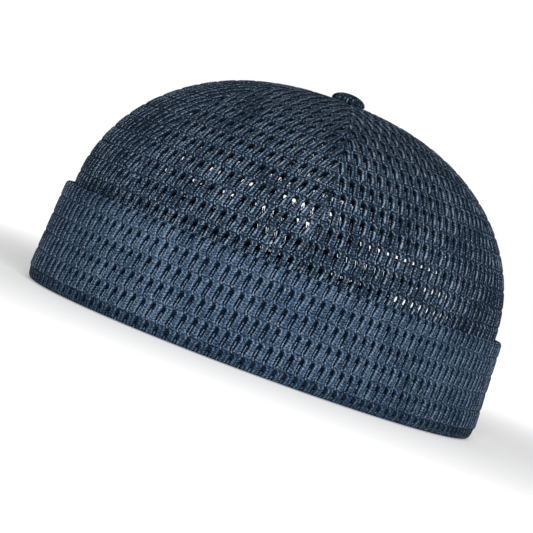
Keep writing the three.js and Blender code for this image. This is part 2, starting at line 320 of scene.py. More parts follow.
def welded(cloth: Cloth, reach: float = 0.06, smallest: int = 40) -> Cloth:
    """Returns a flat cloth whose near points are merged and whose empty faces and scraps are gone.

    Args:
        cloth: a cloth whose points are still flat.
        reach: the distance under which two points become one.
        smallest: the fewest faces that a loose part may have.

    Returns:
        The welded cloth, whose flat places follow its points.
    """
    mesh = bpy.data.meshes.new("weld")
    faces = [tuple(dict.fromkeys(face)) for face in cloth.faces.tolist()]
    mesh.from_pydata(cloth.points.tolist(), [], [face for face in faces if len(face) > 2])
    body = bmesh.new()
    body.from_mesh(mesh)
    bmesh.ops.remove_doubles(body, verts=body.verts, dist=reach)
    slivers = [face for face in body.faces if face.calc_area() < reach * reach]
    bmesh.ops.delete(body, geom=slivers, context="FACES")
    crowded = [edge for edge in body.edges if len(edge.link_faces) > 2]
    doubled = {min(edge.link_faces, key=lambda face: face.calc_area()) for edge in crowded}
    bmesh.ops.delete(body, geom=list(doubled), context="FACES")
    bmesh.ops.delete(body, geom=scraps(body, smallest), context="FACES")
    bmesh.ops.delete(body, geom=[point for point in body.verts if not point.link_faces], context="VERTS")
    wide = [face for face in body.faces if len(face.verts) > 4]
    bmesh.ops.triangulate(body, faces=wide)
    body.to_mesh(mesh)
    body.free()
    return cloth_of(mesh)


def cloth_of(mesh: bpy.types.Mesh) -> Cloth:
    """Returns a mesh in numbers, and removes it."""
    points = np.empty(len(mesh.vertices) * 3)
    mesh.vertices.foreach_get("co", points)
    points = points.reshape(-1, 3)
    corners = np.empty(len(mesh.loops), int)
    mesh.loops.foreach_get("vertex_index", corners)
    starts = np.empty(len(mesh.polygons), int)
    totals = np.empty(len(mesh.polygons), int)
    mesh.polygons.foreach_get("loop_start", starts)
    mesh.polygons.foreach_get("loop_total", totals)
    last = np.minimum(totals - 1, 3)
    faces = np.stack([corners[starts + np.minimum(i, last)] for i in range(4)], axis=1)
    bpy.data.meshes.remove(mesh)
    return Cloth(points, faces, points[:, :2].copy())


def tube(rings: np.ndarray, flat: np.ndarray) -> Cloth:
    """Makes a closed tube through rings of points.

    Args:
        rings: an array of rings, points and coordinates. A ring runs clockwise seen along the path.
        flat: the flat place of each point, of the same shape with two coordinates.

    Returns:
        The tube, with each end closed by faces round its middle.
    """
    count, around = rings.shape[:2]
    index = np.arange(count * around).reshape(count, around)
    near, far = index[:-1], index[1:]
    walls = np.stack([near, np.roll(near, -1, axis=1), np.roll(far, -1, axis=1), far], axis=-1)
    points, flats, faces = [rings.reshape(-1, 3)], [flat.reshape(-1, 2)], [walls.reshape(-1, 4)]
    for number, (ring, step) in enumerate([(0, -1), (count - 1, 1)]):
        edge = index[ring][::step]
        hub = np.full(around, count * around + number)
        points.append(rings[ring].mean(0, keepdims=True))
        flats.append(flat[ring].mean(0, keepdims=True))
        faces.append(np.stack([edge, np.roll(edge, -1), hub, hub], axis=1))
    return Cloth(np.concatenate(points), np.concatenate(faces), np.concatenate(flats))


def rolled(
    centre: np.ndarray, outward: np.ndarray, radii: tuple[float, float], around: int, rows: np.ndarray
) -> Cloth:
    """Rolls cloth round a centre line.

    Args:
        centre: the line's points.
        outward: the outward direction at each.
        radii: the roll's radius outwards and sideways.
        around: the number of points round the roll.
        rows: each point's place along the cloth, in rows of cells.

    Returns:
        The roll, whose flat places follow one wale.
    """
    side = np.cross(unit(np.gradient(centre, axis=0)), outward)
    rings = np.stack([
        centre + radii[0] * math.cos(angle) * outward + radii[1] * math.sin(angle) * side
        for angle in np.linspace(0, 2 * math.pi, around, endpoint=False)
    ], axis=1)
    places = np.repeat(rows[:, None], around, axis=1)
    return tube(rings, np.stack([np.full_like(places, 0.5), places], axis=-1))


class Workshop:
    """Makes finished pieces out of meshes in numbers."""

    FLAT_MAP = "flat_cloth"
    SHADE_DEPTH = "painted_shade_depth"

    def __init__(self, cap: CapFrame) -> None:
        """Keeps the cap's frame, which places every piece."""
        self.cap = cap

    def add(
        self, name: str, cloth: Cloth, material: bpy.types.Material, slot: Slot, *nodes: str
    ) -> bpy.types.Object:
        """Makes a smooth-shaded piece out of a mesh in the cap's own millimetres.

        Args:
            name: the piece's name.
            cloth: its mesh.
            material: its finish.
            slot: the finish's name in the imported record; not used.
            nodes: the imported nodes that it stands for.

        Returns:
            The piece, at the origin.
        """
        mesh = bpy.data.meshes.new(name)
        sizes = np.where(cloth.faces[:, 2] == cloth.faces[:, 3], 3, 4)
        used = np.arange(4)[None, :] < sizes[:, None]
        corners = cloth.faces[used]
        mesh.vertices.add(len(cloth.points))
        mesh.vertices.foreach_set("co", self.cap.placed(cloth.points).ravel())
        mesh.loops.add(len(corners))
        mesh.loops.foreach_set("vertex_index", corners)
        mesh.polygons.add(len(sizes))
        mesh.polygons.foreach_set("loop_start", np.concatenate([[0], np.cumsum(sizes)[:-1]]))
        mesh.update(calc_edges=True)
        mesh.validate()
        layer = mesh.uv_layers.new(name=self.FLAT_MAP)
        layer.data.foreach_set("uv", cloth.flat[corners].ravel())
        # Each point's depth is painted as shade by the knit's material: darker where the cloth is sunk,
        # nearly black on its inner face.
        depth = mesh.attributes.new(self.SHADE_DEPTH, "FLOAT", "POINT")
        depth.data.foreach_set("value", cloth.depth.astype(np.float32))
        mesh.shade_smooth()
        mesh.materials.append(material)
        piece = linked(name, mesh)
        self.finish(piece, slot, *nodes)
        return piece

    @staticmethod
    def finish(piece: bpy.types.Object, slot: Slot, *nodes: str) -> None:
        """Rides a piece on the cap's body, hides the imported nodes that it stands for, and logs its
        triangles.
        """
        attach(piece, "root")
        if nodes:
            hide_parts(*nodes)
        triangles = sum(len(face.vertices) - 2 for face in piece.data.polygons)
        log.info("%s: %d triangles", piece.name, triangles)


class Tree:
    """A node tree that is drawn one node at a time."""

    def __init__(self, tree: bpy.types.NodeTree) -> None:
        """Keeps the tree that nodes are added to."""
        self.tree = tree

    def add(self, kind: str, inputs: dict | None = None, **settings: object) -> bpy.types.Node:
        """Adds a node.

        Args:
            kind: the node's type.
            inputs: a value or a socket for each input, by name or place.
            settings: the node's own properties.

        Returns:
            The new node.
        """
        node = self.tree.nodes.new(kind)
        for name, value in settings.items():
            setattr(node, name, value)
        for key, value in (inputs or {}).items():
            self.feed(node.inputs[key], value)
        return node

    def feed(self, target: bpy.types.NodeSocket, value: object) -> None:
        """Links a socket, or sets the target's own value."""
        if isinstance(value, bpy.types.NodeSocket):
            self.tree.links.new(value, target)
        else:
            target.default_value = value

    def place(self, group: bpy.types.NodeTree, **inputs: object) -> bpy.types.bpy_prop_collection:
        """Places a shader node group, and returns its outputs."""
        named = {label.replace("_", " ").title(): value for label, value in inputs.items()}
        return self.add("ShaderNodeGroup", named, node_tree=group).outputs

    def add_to(self, total: object, value: object, share: float) -> bpy.types.NodeSocket:
        """Returns a total with a share of a value added."""
        return self.math("MULTIPLY_ADD", value, share, total)

    def band(self, value: object, low: float, high: float, edge: float) -> bpy.types.NodeSocket:
        """Returns 1 between two limits and 0 outside them, softened by the edge on either side of each."""
        rising = self.ramp(value, low - edge, low + edge)
        return self.math("MULTIPLY", rising, self.ramp(value, high - edge, high + edge, 1.0, 0.0))

    def math(self, operation: str, *values: object) -> bpy.types.NodeSocket:
        """Returns the result of a math node."""
        return self.add("ShaderNodeMath", dict(enumerate(values)), operation=operation).outputs[0]

    def vector(self, operation: str, *values: object) -> bpy.types.NodeSocket:
        """Returns the result of a vector math node."""
        return self.add("ShaderNodeVectorMath", dict(enumerate(values)), operation=operation).outputs[0]

    def push(self, noise: bpy.types.NodeSocket, reach: object) -> bpy.types.NodeSocket:
        """Returns a noise colour as a push to any side, as far as the reach."""
        centred = self.vector("SUBTRACT", noise, (0.5, 0.5, 0.5))
        return self.add("ShaderNodeVectorMath", {0: centred, "Scale": reach}, operation="SCALE").outputs[0]

    def ramp(
        self, value: object, low: float, high: float, start: float = 0.0, end: float = 1.0
    ) -> bpy.types.NodeSocket:
        """Returns a value that runs smoothly from start to end between low and high."""
        inputs = {"Value": value, "From Min": low, "From Max": high, "To Min": start, "To Max": end}
        return self.add("ShaderNodeMapRange", inputs, interpolation_type="SMOOTHSTEP").outputs[0]

    def mix(self, share: object, one: object, other: object) -> bpy.types.NodeSocket:
        """Returns a colour between two others."""
        node = self.add("ShaderNodeMix", data_type="RGBA")
        self.feed(node.inputs[0], share)
        self.feed(node.inputs[6], one)
        self.feed(node.inputs[7], other)
        return node.outputs[2]


def new_group(
    name: str, kind: str, inputs: dict[str, tuple], outputs: tuple[str, ...],
    output_type: str = "NodeSocketFloat",
) -> tuple[Tree, bpy.types.bpy_prop_collection]:
    """Starts a node group with named sockets.

    Args:
        name: the group's name.
        kind: ShaderNodeTree or GeometryNodeTree.
        inputs: the socket type and first value of each input, by name.
        outputs: the outputs' names.
        output_type: their socket type.

    Returns:
        The group as a tree, and the sockets that bring its inputs.
    """
    group = bpy.data.node_groups.new(name, kind)
    for label, (socket_type, value) in inputs.items():
        socket = group.interface.new_socket(label, in_out="INPUT", socket_type=socket_type)
        if value is not None:
            socket.default_value = value
    for label in outputs:
        group.interface.new_socket(label, in_out="OUTPUT", socket_type=output_type)
    tree = Tree(group)
    return tree, tree.add("NodeGroupInput").outputs


@dataclass(frozen=True)
class Arc:
    """An arc of thread round one end of a slot, in shares of the cell.

    The rim is a place up the cell, the way is 1 where the arc bulges up and -1 where it bulges down.
    """

    rim: float
    way: float
    radius: float


@dataclass(frozen=True)
class LoopLines:
    """Where the loops' lines run in one cell, in shares of its width and height; the knit paints these lines
    and the dashes as highlights.
    """

    arcs: tuple[Arc, Arc] = (Arc(0.79, 1.0, 0.34), Arc(0.2, -1.0, 0.27))
    arc_edge: tuple[float, float] = (0.01, 0.07)
    arc_fade: float = 0.05
    side_foot: float = 0.246
    side_lean: float = 0.119
    side_edge: tuple[float, float] = (0.01, 0.06)
    side_tone: float = 0.6
    side_fade: float = 0.02
    thread_edge: tuple[float, float] = (0.05, 0.08)
    thread_top: tuple[float, float] = (0.58, 0.62)
    wale_edge: tuple[float, float] = (0.12, 0.27)
    wale_split: tuple[float, float] = (0.4, 0.5)
    split_depth: float = 0.5
    dash_across: tuple[float, float, float] = (0.3, 0.4, 0.03)
    dash_along: tuple[float, float, float] = (0.25, 0.55, 0.04)
    dash_tones: tuple[float, float] = (0.2, 0.9)
    waver_scale: float = 2.3


@dataclass
class Patterns:
    """The shader node groups that several finishes share."""

    lines: LoopLines = LoopLines()

    def __post_init__(self) -> None:
        """Builds each group once."""
        self.loops = self.knit_loops()
        self.fibres = self.spread_noise("fine_fibres", "Grain", scale=2400.0, detail=3.0, low=0.3, high=0.7)
        self.shift = self.spread_noise("colour_shift", "Shift", scale=60.0, detail=4.0, low=0.25, high=0.75)
        self.weave = self.plain_weave()

    def arc(
        self, tree: Tree, arc: Arc, from_slot: bpy.types.NodeSocket, within_row: bpy.types.NodeSocket,
        ratio: bpy.types.NodeSocket,
    ) -> bpy.types.NodeSocket:
        """Returns the line of one arc.

        Args:
            tree: the group that it is drawn in.
            arc: its shape.
            from_slot: the distance from the slot's middle.
            within_row: the place up the cell.
            ratio: the cell's height over its width.

        Returns:
            1 on the line and 0 away from it.
        """
        past = tree.math("MULTIPLY", tree.math("SUBTRACT", within_row, arc.rim), arc.way)
        past = tree.math("MULTIPLY", past, ratio)
        across = tree.math("MULTIPLY", from_slot, from_slot)
        reach = tree.math("SQRT", tree.math("MULTIPLY_ADD", past, past, across))
        off = tree.math("ABSOLUTE", tree.math("SUBTRACT", reach, arc.radius))
        line = tree.ramp(off, *self.lines.arc_edge, 1.0, 0.0)
        return tree.math("MULTIPLY", line, tree.ramp(past, -self.lines.arc_fade, self.lines.arc_fade))

    def knit_loops(self) -> bpy.types.NodeTree:
        """Returns the loops of the mesh knit: stitches down each wale, and arcs round the slots' ends. Lines
        and Dashes mark painted highlights, and Wale is low where the slots' edges are painted in shade.
        """
        inputs = {
            "Cells": ("NodeSocketVector", None),
            "Stitches": ("NodeSocketFloat", 7.0),
            "Chevron": ("NodeSocketFloat", 1.6),
            "Waver": ("NodeSocketFloat", 0.2),
            "Cell Ratio": ("NodeSocketFloat", 1.76),
        }
        names = ("Height", "Wale", "Lines", "Dashes", "Cell Tone")
        tree, given = new_group("knit_loops", "ShaderNodeTree", inputs, names)
        lines = self.lines
        spread = {"Vector": given["Cells"], "Scale": lines.waver_scale, "Detail": 2.0}
        sway = tree.push(tree.add("ShaderNodeTexNoise", spread).outputs["Color"], given["Waver"])
        swayed = tree.add("ShaderNodeSeparateXYZ", {0: tree.vector("ADD", given["Cells"], sway)}).outputs
        from_slot = tree.math("PINGPONG", swayed[0], 0.5)
        within_row = tree.math("FRACT", swayed[1])

        chevron = tree.math("MULTIPLY", from_slot, given["Chevron"])
        phase = tree.math("MULTIPLY_ADD", swayed[1], given["Stitches"], chevron)
        stitches = tree.math("SINE", tree.math("MULTIPLY", phase, 2 * math.pi))
        split = tree.ramp(from_slot, *lines.wale_split, 0.0, -lines.split_depth)
        wave = tree.math("ADD", tree.math("MULTIPLY_ADD", stitches, 0.5, 0.5), split)

        # Painted highlights: thin lines round each slot's ends and up its sides.
        foot, head = lines.arcs[1].rim, lines.arcs[0].rim
        arcs = [self.arc(tree, arc, from_slot, within_row, given["Cell Ratio"]) for arc in lines.arcs]
        side = tree.math("MULTIPLY_ADD", within_row, lines.side_lean, lines.side_foot)
        off = tree.math("ABSOLUTE", tree.math("SUBTRACT", from_slot, side))
        sides = tree.ramp(off, *lines.side_edge, lines.side_tone, 0.0)
        sides = tree.math("MULTIPLY", sides, tree.band(within_row, foot, head, lines.side_fade))
        arc = tree.math("MAXIMUM", tree.math("MAXIMUM", *arcs), sides)

        # The slot's middle thread, painted lighter as a highlight and kept out of the slot edges' painted
        # shade.
        still = tree.add("ShaderNodeSeparateXYZ", {0: given["Cells"]}).outputs
        thread = tree.ramp(tree.math("PINGPONG", still[0], 0.5), *lines.thread_edge, 1.0, 0.0)
        below = tree.ramp(tree.math("FRACT", still[1]), *lines.thread_top, 1.0, 0.0)
        thread = tree.math("MULTIPLY", thread, below)
        wale = tree.math("MAXIMUM", tree.ramp(from_slot, *lines.wale_edge), thread)

        whole = tree.vector("FLOOR", tree.vector("ADD", given["Cells"], (0.5, 0.0, 0.0)))
        cell_tone = tree.add("ShaderNodeTexWhiteNoise", {"Vector": whole}).outputs[0]
        # Dashes: short painted highlights on one side of each wale, of a random strength in each cell.
        dash = tree.band(tree.math("FRACT", swayed[0]), *lines.dash_across)
        dash = tree.math("MULTIPLY", dash, tree.band(within_row, *lines.dash_along))
        dashes = tree.math("MULTIPLY", dash, tree.ramp(cell_tone, *lines.dash_tones))
        height, drawn = tree.math("MAXIMUM", wave, arc), tree.math("MAXIMUM", arc, thread)
        tree.add("NodeGroupOutput", dict(zip(names, (height, wale, drawn, dashes, cell_tone))))
        return tree.tree

    @staticmethod
    def spread_noise(
        name: str, output: str, scale: float, detail: float, low: float, high: float
    ) -> bpy.types.NodeTree:
        """Returns a group that spreads the middle of a noise, from low to high, over 0 to 1."""
        inputs = {"Vector": ("NodeSocketVector", None), "Scale": ("NodeSocketFloat", scale)}
        tree, given = new_group(name, "ShaderNodeTree", inputs, (output,))
        settings = {"Vector": given["Vector"], "Scale": given["Scale"], "Detail": detail}
        noise = tree.add("ShaderNodeTexNoise", settings).outputs[0]
        tree.add("NodeGroupOutput", {output: tree.ramp(noise, low, high)})
        return tree.tree

    @staticmethod
    def plain_weave() -> bpy.types.NodeTree:
        """Returns a weave of threads that cross, from a flat place in millimetres."""
        inputs = {
            "Flat": ("NodeSocketVector", None),
            "Across": ("NodeSocketFloat", 2.0),
            "Along": ("NodeSocketFloat", 2.0),
        }
        tree, given = new_group("plain_weave", "ShaderNodeTree", inputs, ("Height",))
        parts = tree.add("ShaderNodeSeparateXYZ", {0: given["Flat"]}).outputs
        warp, weft = (
            tree.math("SINE", tree.math("MULTIPLY", part, tree.math("MULTIPLY", given[count], 2 * math.pi)))
            for part, count in zip(parts, ("Across", "Along"))
        )
        crossing = tree.math("MULTIPLY", tree.math("MULTIPLY", warp, weft), 0.3)
        blended = tree.math("ADD", crossing, tree.math("MULTIPLY", weft, 0.2))
        tree.add("NodeGroupOutput", {"Height": tree.math("ADD", blended, 0.5)})
        return tree.tree


@dataclass(frozen=True)
class Finish:
    """What every finish has: its colours, gloss and relief."""

    name: str
    dark: tuple[float, float, float]
    light: tuple[float, float, float]
    roughness: float = 0.8
    sheen: float = 0.0
    relief: float = 0.0001
    specular: float = 0.22

    def start(self) -> tuple[Tree, bpy.types.Material, bpy.types.Node]:
        """Returns a new material's tree, the material and its shader."""
        material = bpy.data.materials.new(self.name)
        material.use_nodes = True
        tree = Tree(material.node_tree)
        shader = material.node_tree.nodes["Principled BSDF"]
        shader.inputs["Roughness"].default_value = self.roughness
        shader.inputs["Sheen Weight"].default_value = self.sheen
        shader.inputs["Sheen Roughness"].default_value = 0.5
        shader.inputs["Specular IOR Level"].default_value = self.specular
        return tree, material, shader

    def between(self, tree: Tree, tone: object) -> bpy.types.NodeSocket:
        """Returns the colour between dark and light at a tone."""
        return tree.mix(tone, (*self.dark, 1.0), (*self.light, 1.0))

    def close(self, tree: Tree, shader: bpy.types.Node, colour: object, height: object) -> None:
        """Feeds a colour and a relief to the shader."""
        tree.feed(shader.inputs["Base Color"], colour)
        bump = tree.add("ShaderNodeBump", {"Strength": 1.0, "Distance": self.relief, "Height": height})
        tree.feed(shader.inputs["Normal"], bump.outputs[0])


@dataclass(frozen=True)
class KnitFinish(Finish):
    """Dyed polyester mesh knit, whose loops follow the cloth's own cells, with painted shade in its hollows
    and painted highlights on its loops.
    """

    middle: tuple[float, float, float] = (0.04, 0.08, 0.14)
    grain_scale: float = 1100.0
    contrast: float = 1.6
    slot_edge_shade: float = 0.35
    stitch_shade_share: float = 0.34
    fibre_share: float = 0.12
    grain_share: float = 0.3
    cell_share: float = 0.12
    shift_share: float = 0.14
    line_highlight_share: float = 0.44
    line_grain: float = 0.8
    dash_highlight_share: float = 0.2
    depth_shade: float = 0.92
    middle_tone: float = 0.4
    light_from: float = 0.25
    fibre_relief: float = 0.35

    def material(self, patterns: Patterns) -> bpy.types.Material:
        """Returns the knit's material."""
        tree, material, shader = self.start()
        cells = tree.add("ShaderNodeUVMap", uv_map=Workshop.FLAT_MAP).outputs[0]
        depth = tree.add("ShaderNodeAttribute", attribute_name=Workshop.SHADE_DEPTH).outputs["Fac"]
        place = tree.add("ShaderNodeTexCoord").outputs["Object"]
        loops = tree.place(patterns.loops, cells=cells)
        fibres = tree.place(patterns.fibres, vector=place)[0]
        grain = tree.place(patterns.fibres, vector=place, scale=self.grain_scale)[0]
        shift = tree.place(patterns.shift, vector=place)[0]
        # Tone: random fibres, grain, cell tone and colour shift, plus the stitches' height, which paints the
        # grooves between stitches darker as shade.
        tone = tree.math("MULTIPLY", fibres, self.fibre_share)
        for part, share in (
            (loops["Height"], self.stitch_shade_share), (grain, self.grain_share),
            (loops["Cell Tone"], self.cell_share), (shift, self.shift_share),
        ):
            tone = tree.add_to(tone, part, share)
        # Painted shade: darker near each slot's edges, where the wale falls away into the slot.
        tone = tree.math("MULTIPLY", tone, tree.ramp(loops["Wale"], 0.0, 1.0, self.slot_edge_shade, 1.0))
        # Painted highlights: lighter lines round the slots' ends, up their sides and on each slot's middle
        # thread.
        uneven = tree.math("MULTIPLY_ADD", grain, self.line_grain, 1.0 - self.line_grain)
        tone = tree.add_to(tone, tree.math("MULTIPLY", loops["Lines"], uneven), self.line_highlight_share)
        # Painted highlights: the short dashes on the wales.
        tone = tree.add_to(tone, loops["Dashes"], self.dash_highlight_share)
        tone = tree.math("POWER", tree.math("MAXIMUM", tone, 0.0), self.contrast)
        # Painted shade: the tone darkens with the cloth's depth, to nearly black on the inner face.
        tone = tree.math("MULTIPLY", tone, tree.ramp(depth, 0.0, 1.0, 1.0, 1.0 - self.depth_shade))
        deep = tree.mix(tree.ramp(tone, 0.0, self.middle_tone), (*self.dark, 1.0), (*self.middle, 1.0))
        colour = tree.mix(tree.ramp(tone, self.light_from, 1.0), deep, (*self.light, 1.0))
        self.close(tree, shader, colour, tree.add_to(loops["Height"], fibres, self.fibre_relief))
        return material


@dataclass(frozen=True)
class WovenFinish(Finish):
    """Woven cloth or webbing, whose threads follow the piece's flat place."""

    threads_across: float = 2.0
    threads_along: float = 2.0
    weave_share: float = 0.45
    fibre_share: float = 0.3
    shift_share: float = 0.3
    fibre_relief: float = 0.2

    def material(self, patterns: Patterns) -> bpy.types.Material:
        """Returns the woven material."""
        tree, material, shader = self.start()
        flat = tree.add("ShaderNodeUVMap", uv_map=Workshop.FLAT_MAP).outputs[0]
        place = tree.add("ShaderNodeTexCoord").outputs["Object"]
        weave = tree.place(patterns.weave, flat=flat, across=self.threads_across, along=self.threads_along)[0]
        fibres = tree.place(patterns.fibres, vector=place)[0]
        shift = tree.place(patterns.shift, vector=place)[0]
        tone = tree.math("MULTIPLY", weave, self.weave_share)
        tone = tree.add_to(tone, fibres, self.fibre_share)
        tone = tree.add_to(tone, shift, self.shift_share)
        self.close(tree, shader, self.between(tree, tone), tree.add_to(weave, fibres, self.fibre_relief))
        return material


@dataclass(frozen=True)
class ThreadFinish(Finish):
    """Twisted sewing thread."""

    def material(self, patterns: Patterns) -> bpy.types.Material:
        """Returns the thread's material."""
        tree, material, shader = self.start()
        place = tree.add("ShaderNodeTexCoord").outputs["Object"]
        fibres = tree.place(patterns.fibres, vector=place)[0]
        self.close(tree, shader, self.between(tree, fibres), fibres)
        return material


@dataclass(frozen=True)
class PlasticFinish(Finish):
    """Moulded plastic with a fine satin grain, lighter on its sharp edges."""

    shift_scale: float = 220.0
    shift_share: float = 0.4
    edge_lightening: tuple[float, float] = (0.5, 0.6)
    gloss_spread: tuple[float, float] = (-0.06, 0.08)

    def material(self, patterns: Patterns) -> bpy.types.Material:
        """Returns the plastic's material."""
        tree, material, shader = self.start()
        place = tree.add("ShaderNodeTexCoord").outputs["Object"]
        fibres = tree.place(patterns.fibres, vector=place)[0]
        shift = tree.place(patterns.shift, vector=place, scale=self.shift_scale)[0]
        # Lighter on sharp edges, by pointiness.
        lighter_edges = tree.ramp(tree.add("ShaderNodeNewGeometry").outputs["Pointiness"], *self.edge_lightening)
        tone = tree.math("MAXIMUM", tree.math("MULTIPLY", shift, self.shift_share), lighter_edges)
        low, high = (self.roughness + change for change in self.gloss_spread)
        tree.feed(shader.inputs["Roughness"], tree.ramp(shift, 0.0, 1.0, low, high))
        self.close(tree, shader, self.between(tree, tone), fibres)
        return material


class NodeMaker:
    """The Geometry Nodes trees: knit cells on a grid, and stitches on a run of points."""

    def __init__(self) -> None:
        """Builds each tree once."""
        self.knit = self.knit_tree()
        self.stitch = self.stitch_tree()

    @staticmethod
    def knit_tree() -> bpy.types.NodeTree:
        """Returns the tree that repeats one knit cell in columns and rows, in millimetres."""
        inputs = {
            "Cell": ("NodeSocketGeometry", None),
            "Columns": ("NodeSocketInt", 10),
            "Rows": ("NodeSocketInt", 10),
            "Pitch": ("NodeSocketFloat", 4.2),
            "Row Height": ("NodeSocketFloat", 7.4),
            "Unevenness": ("NodeSocketFloat", 0.2),
            "Seed": ("NodeSocketInt", 1),
            "Yarn": ("NodeSocketMaterial", None),
        }
        tree, given = new_group("knit_cloth", "GeometryNodeTree", inputs, ("Geometry",), "NodeSocketGeometry")
        width, depth = (
            tree.math("MULTIPLY", tree.math("SUBTRACT", given[count], 1.0), given[step])
            for count, step in (("Columns", "Pitch"), ("Rows", "Row Height"))
        )
        grid = tree.add("GeometryNodeMeshGrid", {
            "Size X": width, "Size Y": depth, "Vertices X": given["Columns"], "Vertices Y": given["Rows"],
        })
        lift = tree.add("ShaderNodeCombineXYZ", {"Y": tree.math("MULTIPLY", depth, 0.5)}).outputs[0]
        moved = tree.add("GeometryNodeSetPosition", {"Geometry": grid.outputs[0], "Offset": lift}).outputs[0]
        placing = {"Points": moved, "Instance": given["Cell"]}
        cells = tree.add("GeometryNodeInstanceOnPoints", placing).outputs[0]
        real = tree.add("GeometryNodeRealizeInstances", {"Geometry": cells}).outputs[0]
        merged = tree.add("GeometryNodeMergeByDistance", {"Geometry": real, "Distance": 0.05}).outputs[0]
        noise = tree.add("ShaderNodeTexNoise", {"Scale": 0.3, "Detail": 2.0}, noise_dimensions="4D")
        tree.feed(noise.inputs["W"], tree.math("MULTIPLY", given["Seed"], 7.0))
        sway = tree.push(noise.outputs["Color"], given["Unevenness"])
        swayed = tree.add("GeometryNodeSetPosition", {"Geometry": merged, "Offset": sway}).outputs[0]
        dressing = {"Geometry": swayed, "Material": given["Yarn"]}
        dressed = tree.add("GeometryNodeSetMaterial", dressing).outputs[0]
        tree.add("NodeGroupOutput", {"Geometry": dressed})
        return tree.tree

    @staticmethod
    def stitch_tree() -> bpy.types.NodeTree:
        """Returns the tree that lays a stitch on each point, along its run and flat on the cloth."""
        inputs = {
            "Points": ("NodeSocketGeometry", None),
            "Stitch Length": ("NodeSocketFloat", 0.002),
            "Stitch Width": ("NodeSocketFloat", 0.0005),
            "Stitch Height": ("NodeSocketFloat", 0.0004),
            "Unevenness": ("NodeSocketFloat", 0.12),
            "Seed": ("NodeSocketInt", 1),
            "Thread": ("NodeSocketMaterial", None),
        }
        tree, given = new_group("stitch_run", "GeometryNodeTree", inputs, ("Geometry",), "NodeSocketGeometry")
        bead = tree.add("GeometryNodeMeshUVSphere", {"Segments": 7, "Rings": 5, "Radius": 0.5}).outputs[0]
        sizes = tree.add("ShaderNodeCombineXYZ", {
            "X": given["Stitch Length"], "Y": given["Stitch Width"], "Z": given["Stitch Height"],
        }).outputs[0]
        stitch = tree.add("GeometryNodeTransform", {"Geometry": bead, "Scale": sizes}).outputs[0]
        along, outward = (
            tree.add("GeometryNodeInputNamedAttribute", {"Name": label}, data_type="FLOAT_VECTOR").outputs[0]
            for label in ("along", "outward")
        )
        facing = tree.add("FunctionNodeAlignRotationToVector", {"Vector": along}, axis="X").outputs[0]
        aims = {"Rotation": facing, "Vector": outward}
        laid = tree.add("FunctionNodeAlignRotationToVector", aims, axis="Z", pivot_axis="X").outputs[0]
        low = tree.math("SUBTRACT", 1.0, given["Unevenness"])
        high = tree.math("ADD", 1.0, given["Unevenness"])
        drawn = {2: low, 3: high, "Seed": given["Seed"]}
        size = tree.add("FunctionNodeRandomValue", drawn, data_type="FLOAT")
        placed = tree.add("GeometryNodeInstanceOnPoints", {
            "Points": given["Points"], "Instance": stitch, "Rotation": laid, "Scale": size.outputs[1],
        }).outputs[0]
        real = tree.add("GeometryNodeRealizeInstances", {"Geometry": placed}).outputs[0]
        smooth = tree.add("GeometryNodeSetShadeSmooth", {"Geometry": real}).outputs[0]
        dressing = {"Geometry": smooth, "Material": given["Thread"]}
        dressed = tree.add("GeometryNodeSetMaterial", dressing).outputs[0]
        tree.add("NodeGroupOutput", {"Geometry": dressed})
        return tree.tree

    @staticmethod
    def result(
        source: bpy.types.Object, tree: bpy.types.NodeTree, values: dict[str, object],
    ) -> bpy.types.Mesh:
        """Runs a tree on an object and takes the result as a plain mesh.

        Args:
            source: the object, which is removed afterwards.
            tree: the Geometry Nodes tree.
            values: the tree's inputs by name.

        Returns:
            The mesh that the tree makes.
        """
        modifier = source.modifiers.new(tree.name, "NODES")
        modifier.node_group = tree
        for item in tree.interface.items_tree:
            if item.name in values:
                modifier[item.identifier] = values[item.name]
        mesh = evaluated(source)
        source.modifiers.remove(modifier)
        old = source.data
        bpy.data.objects.remove(source)
        bpy.data.meshes.remove(old)
        return mesh


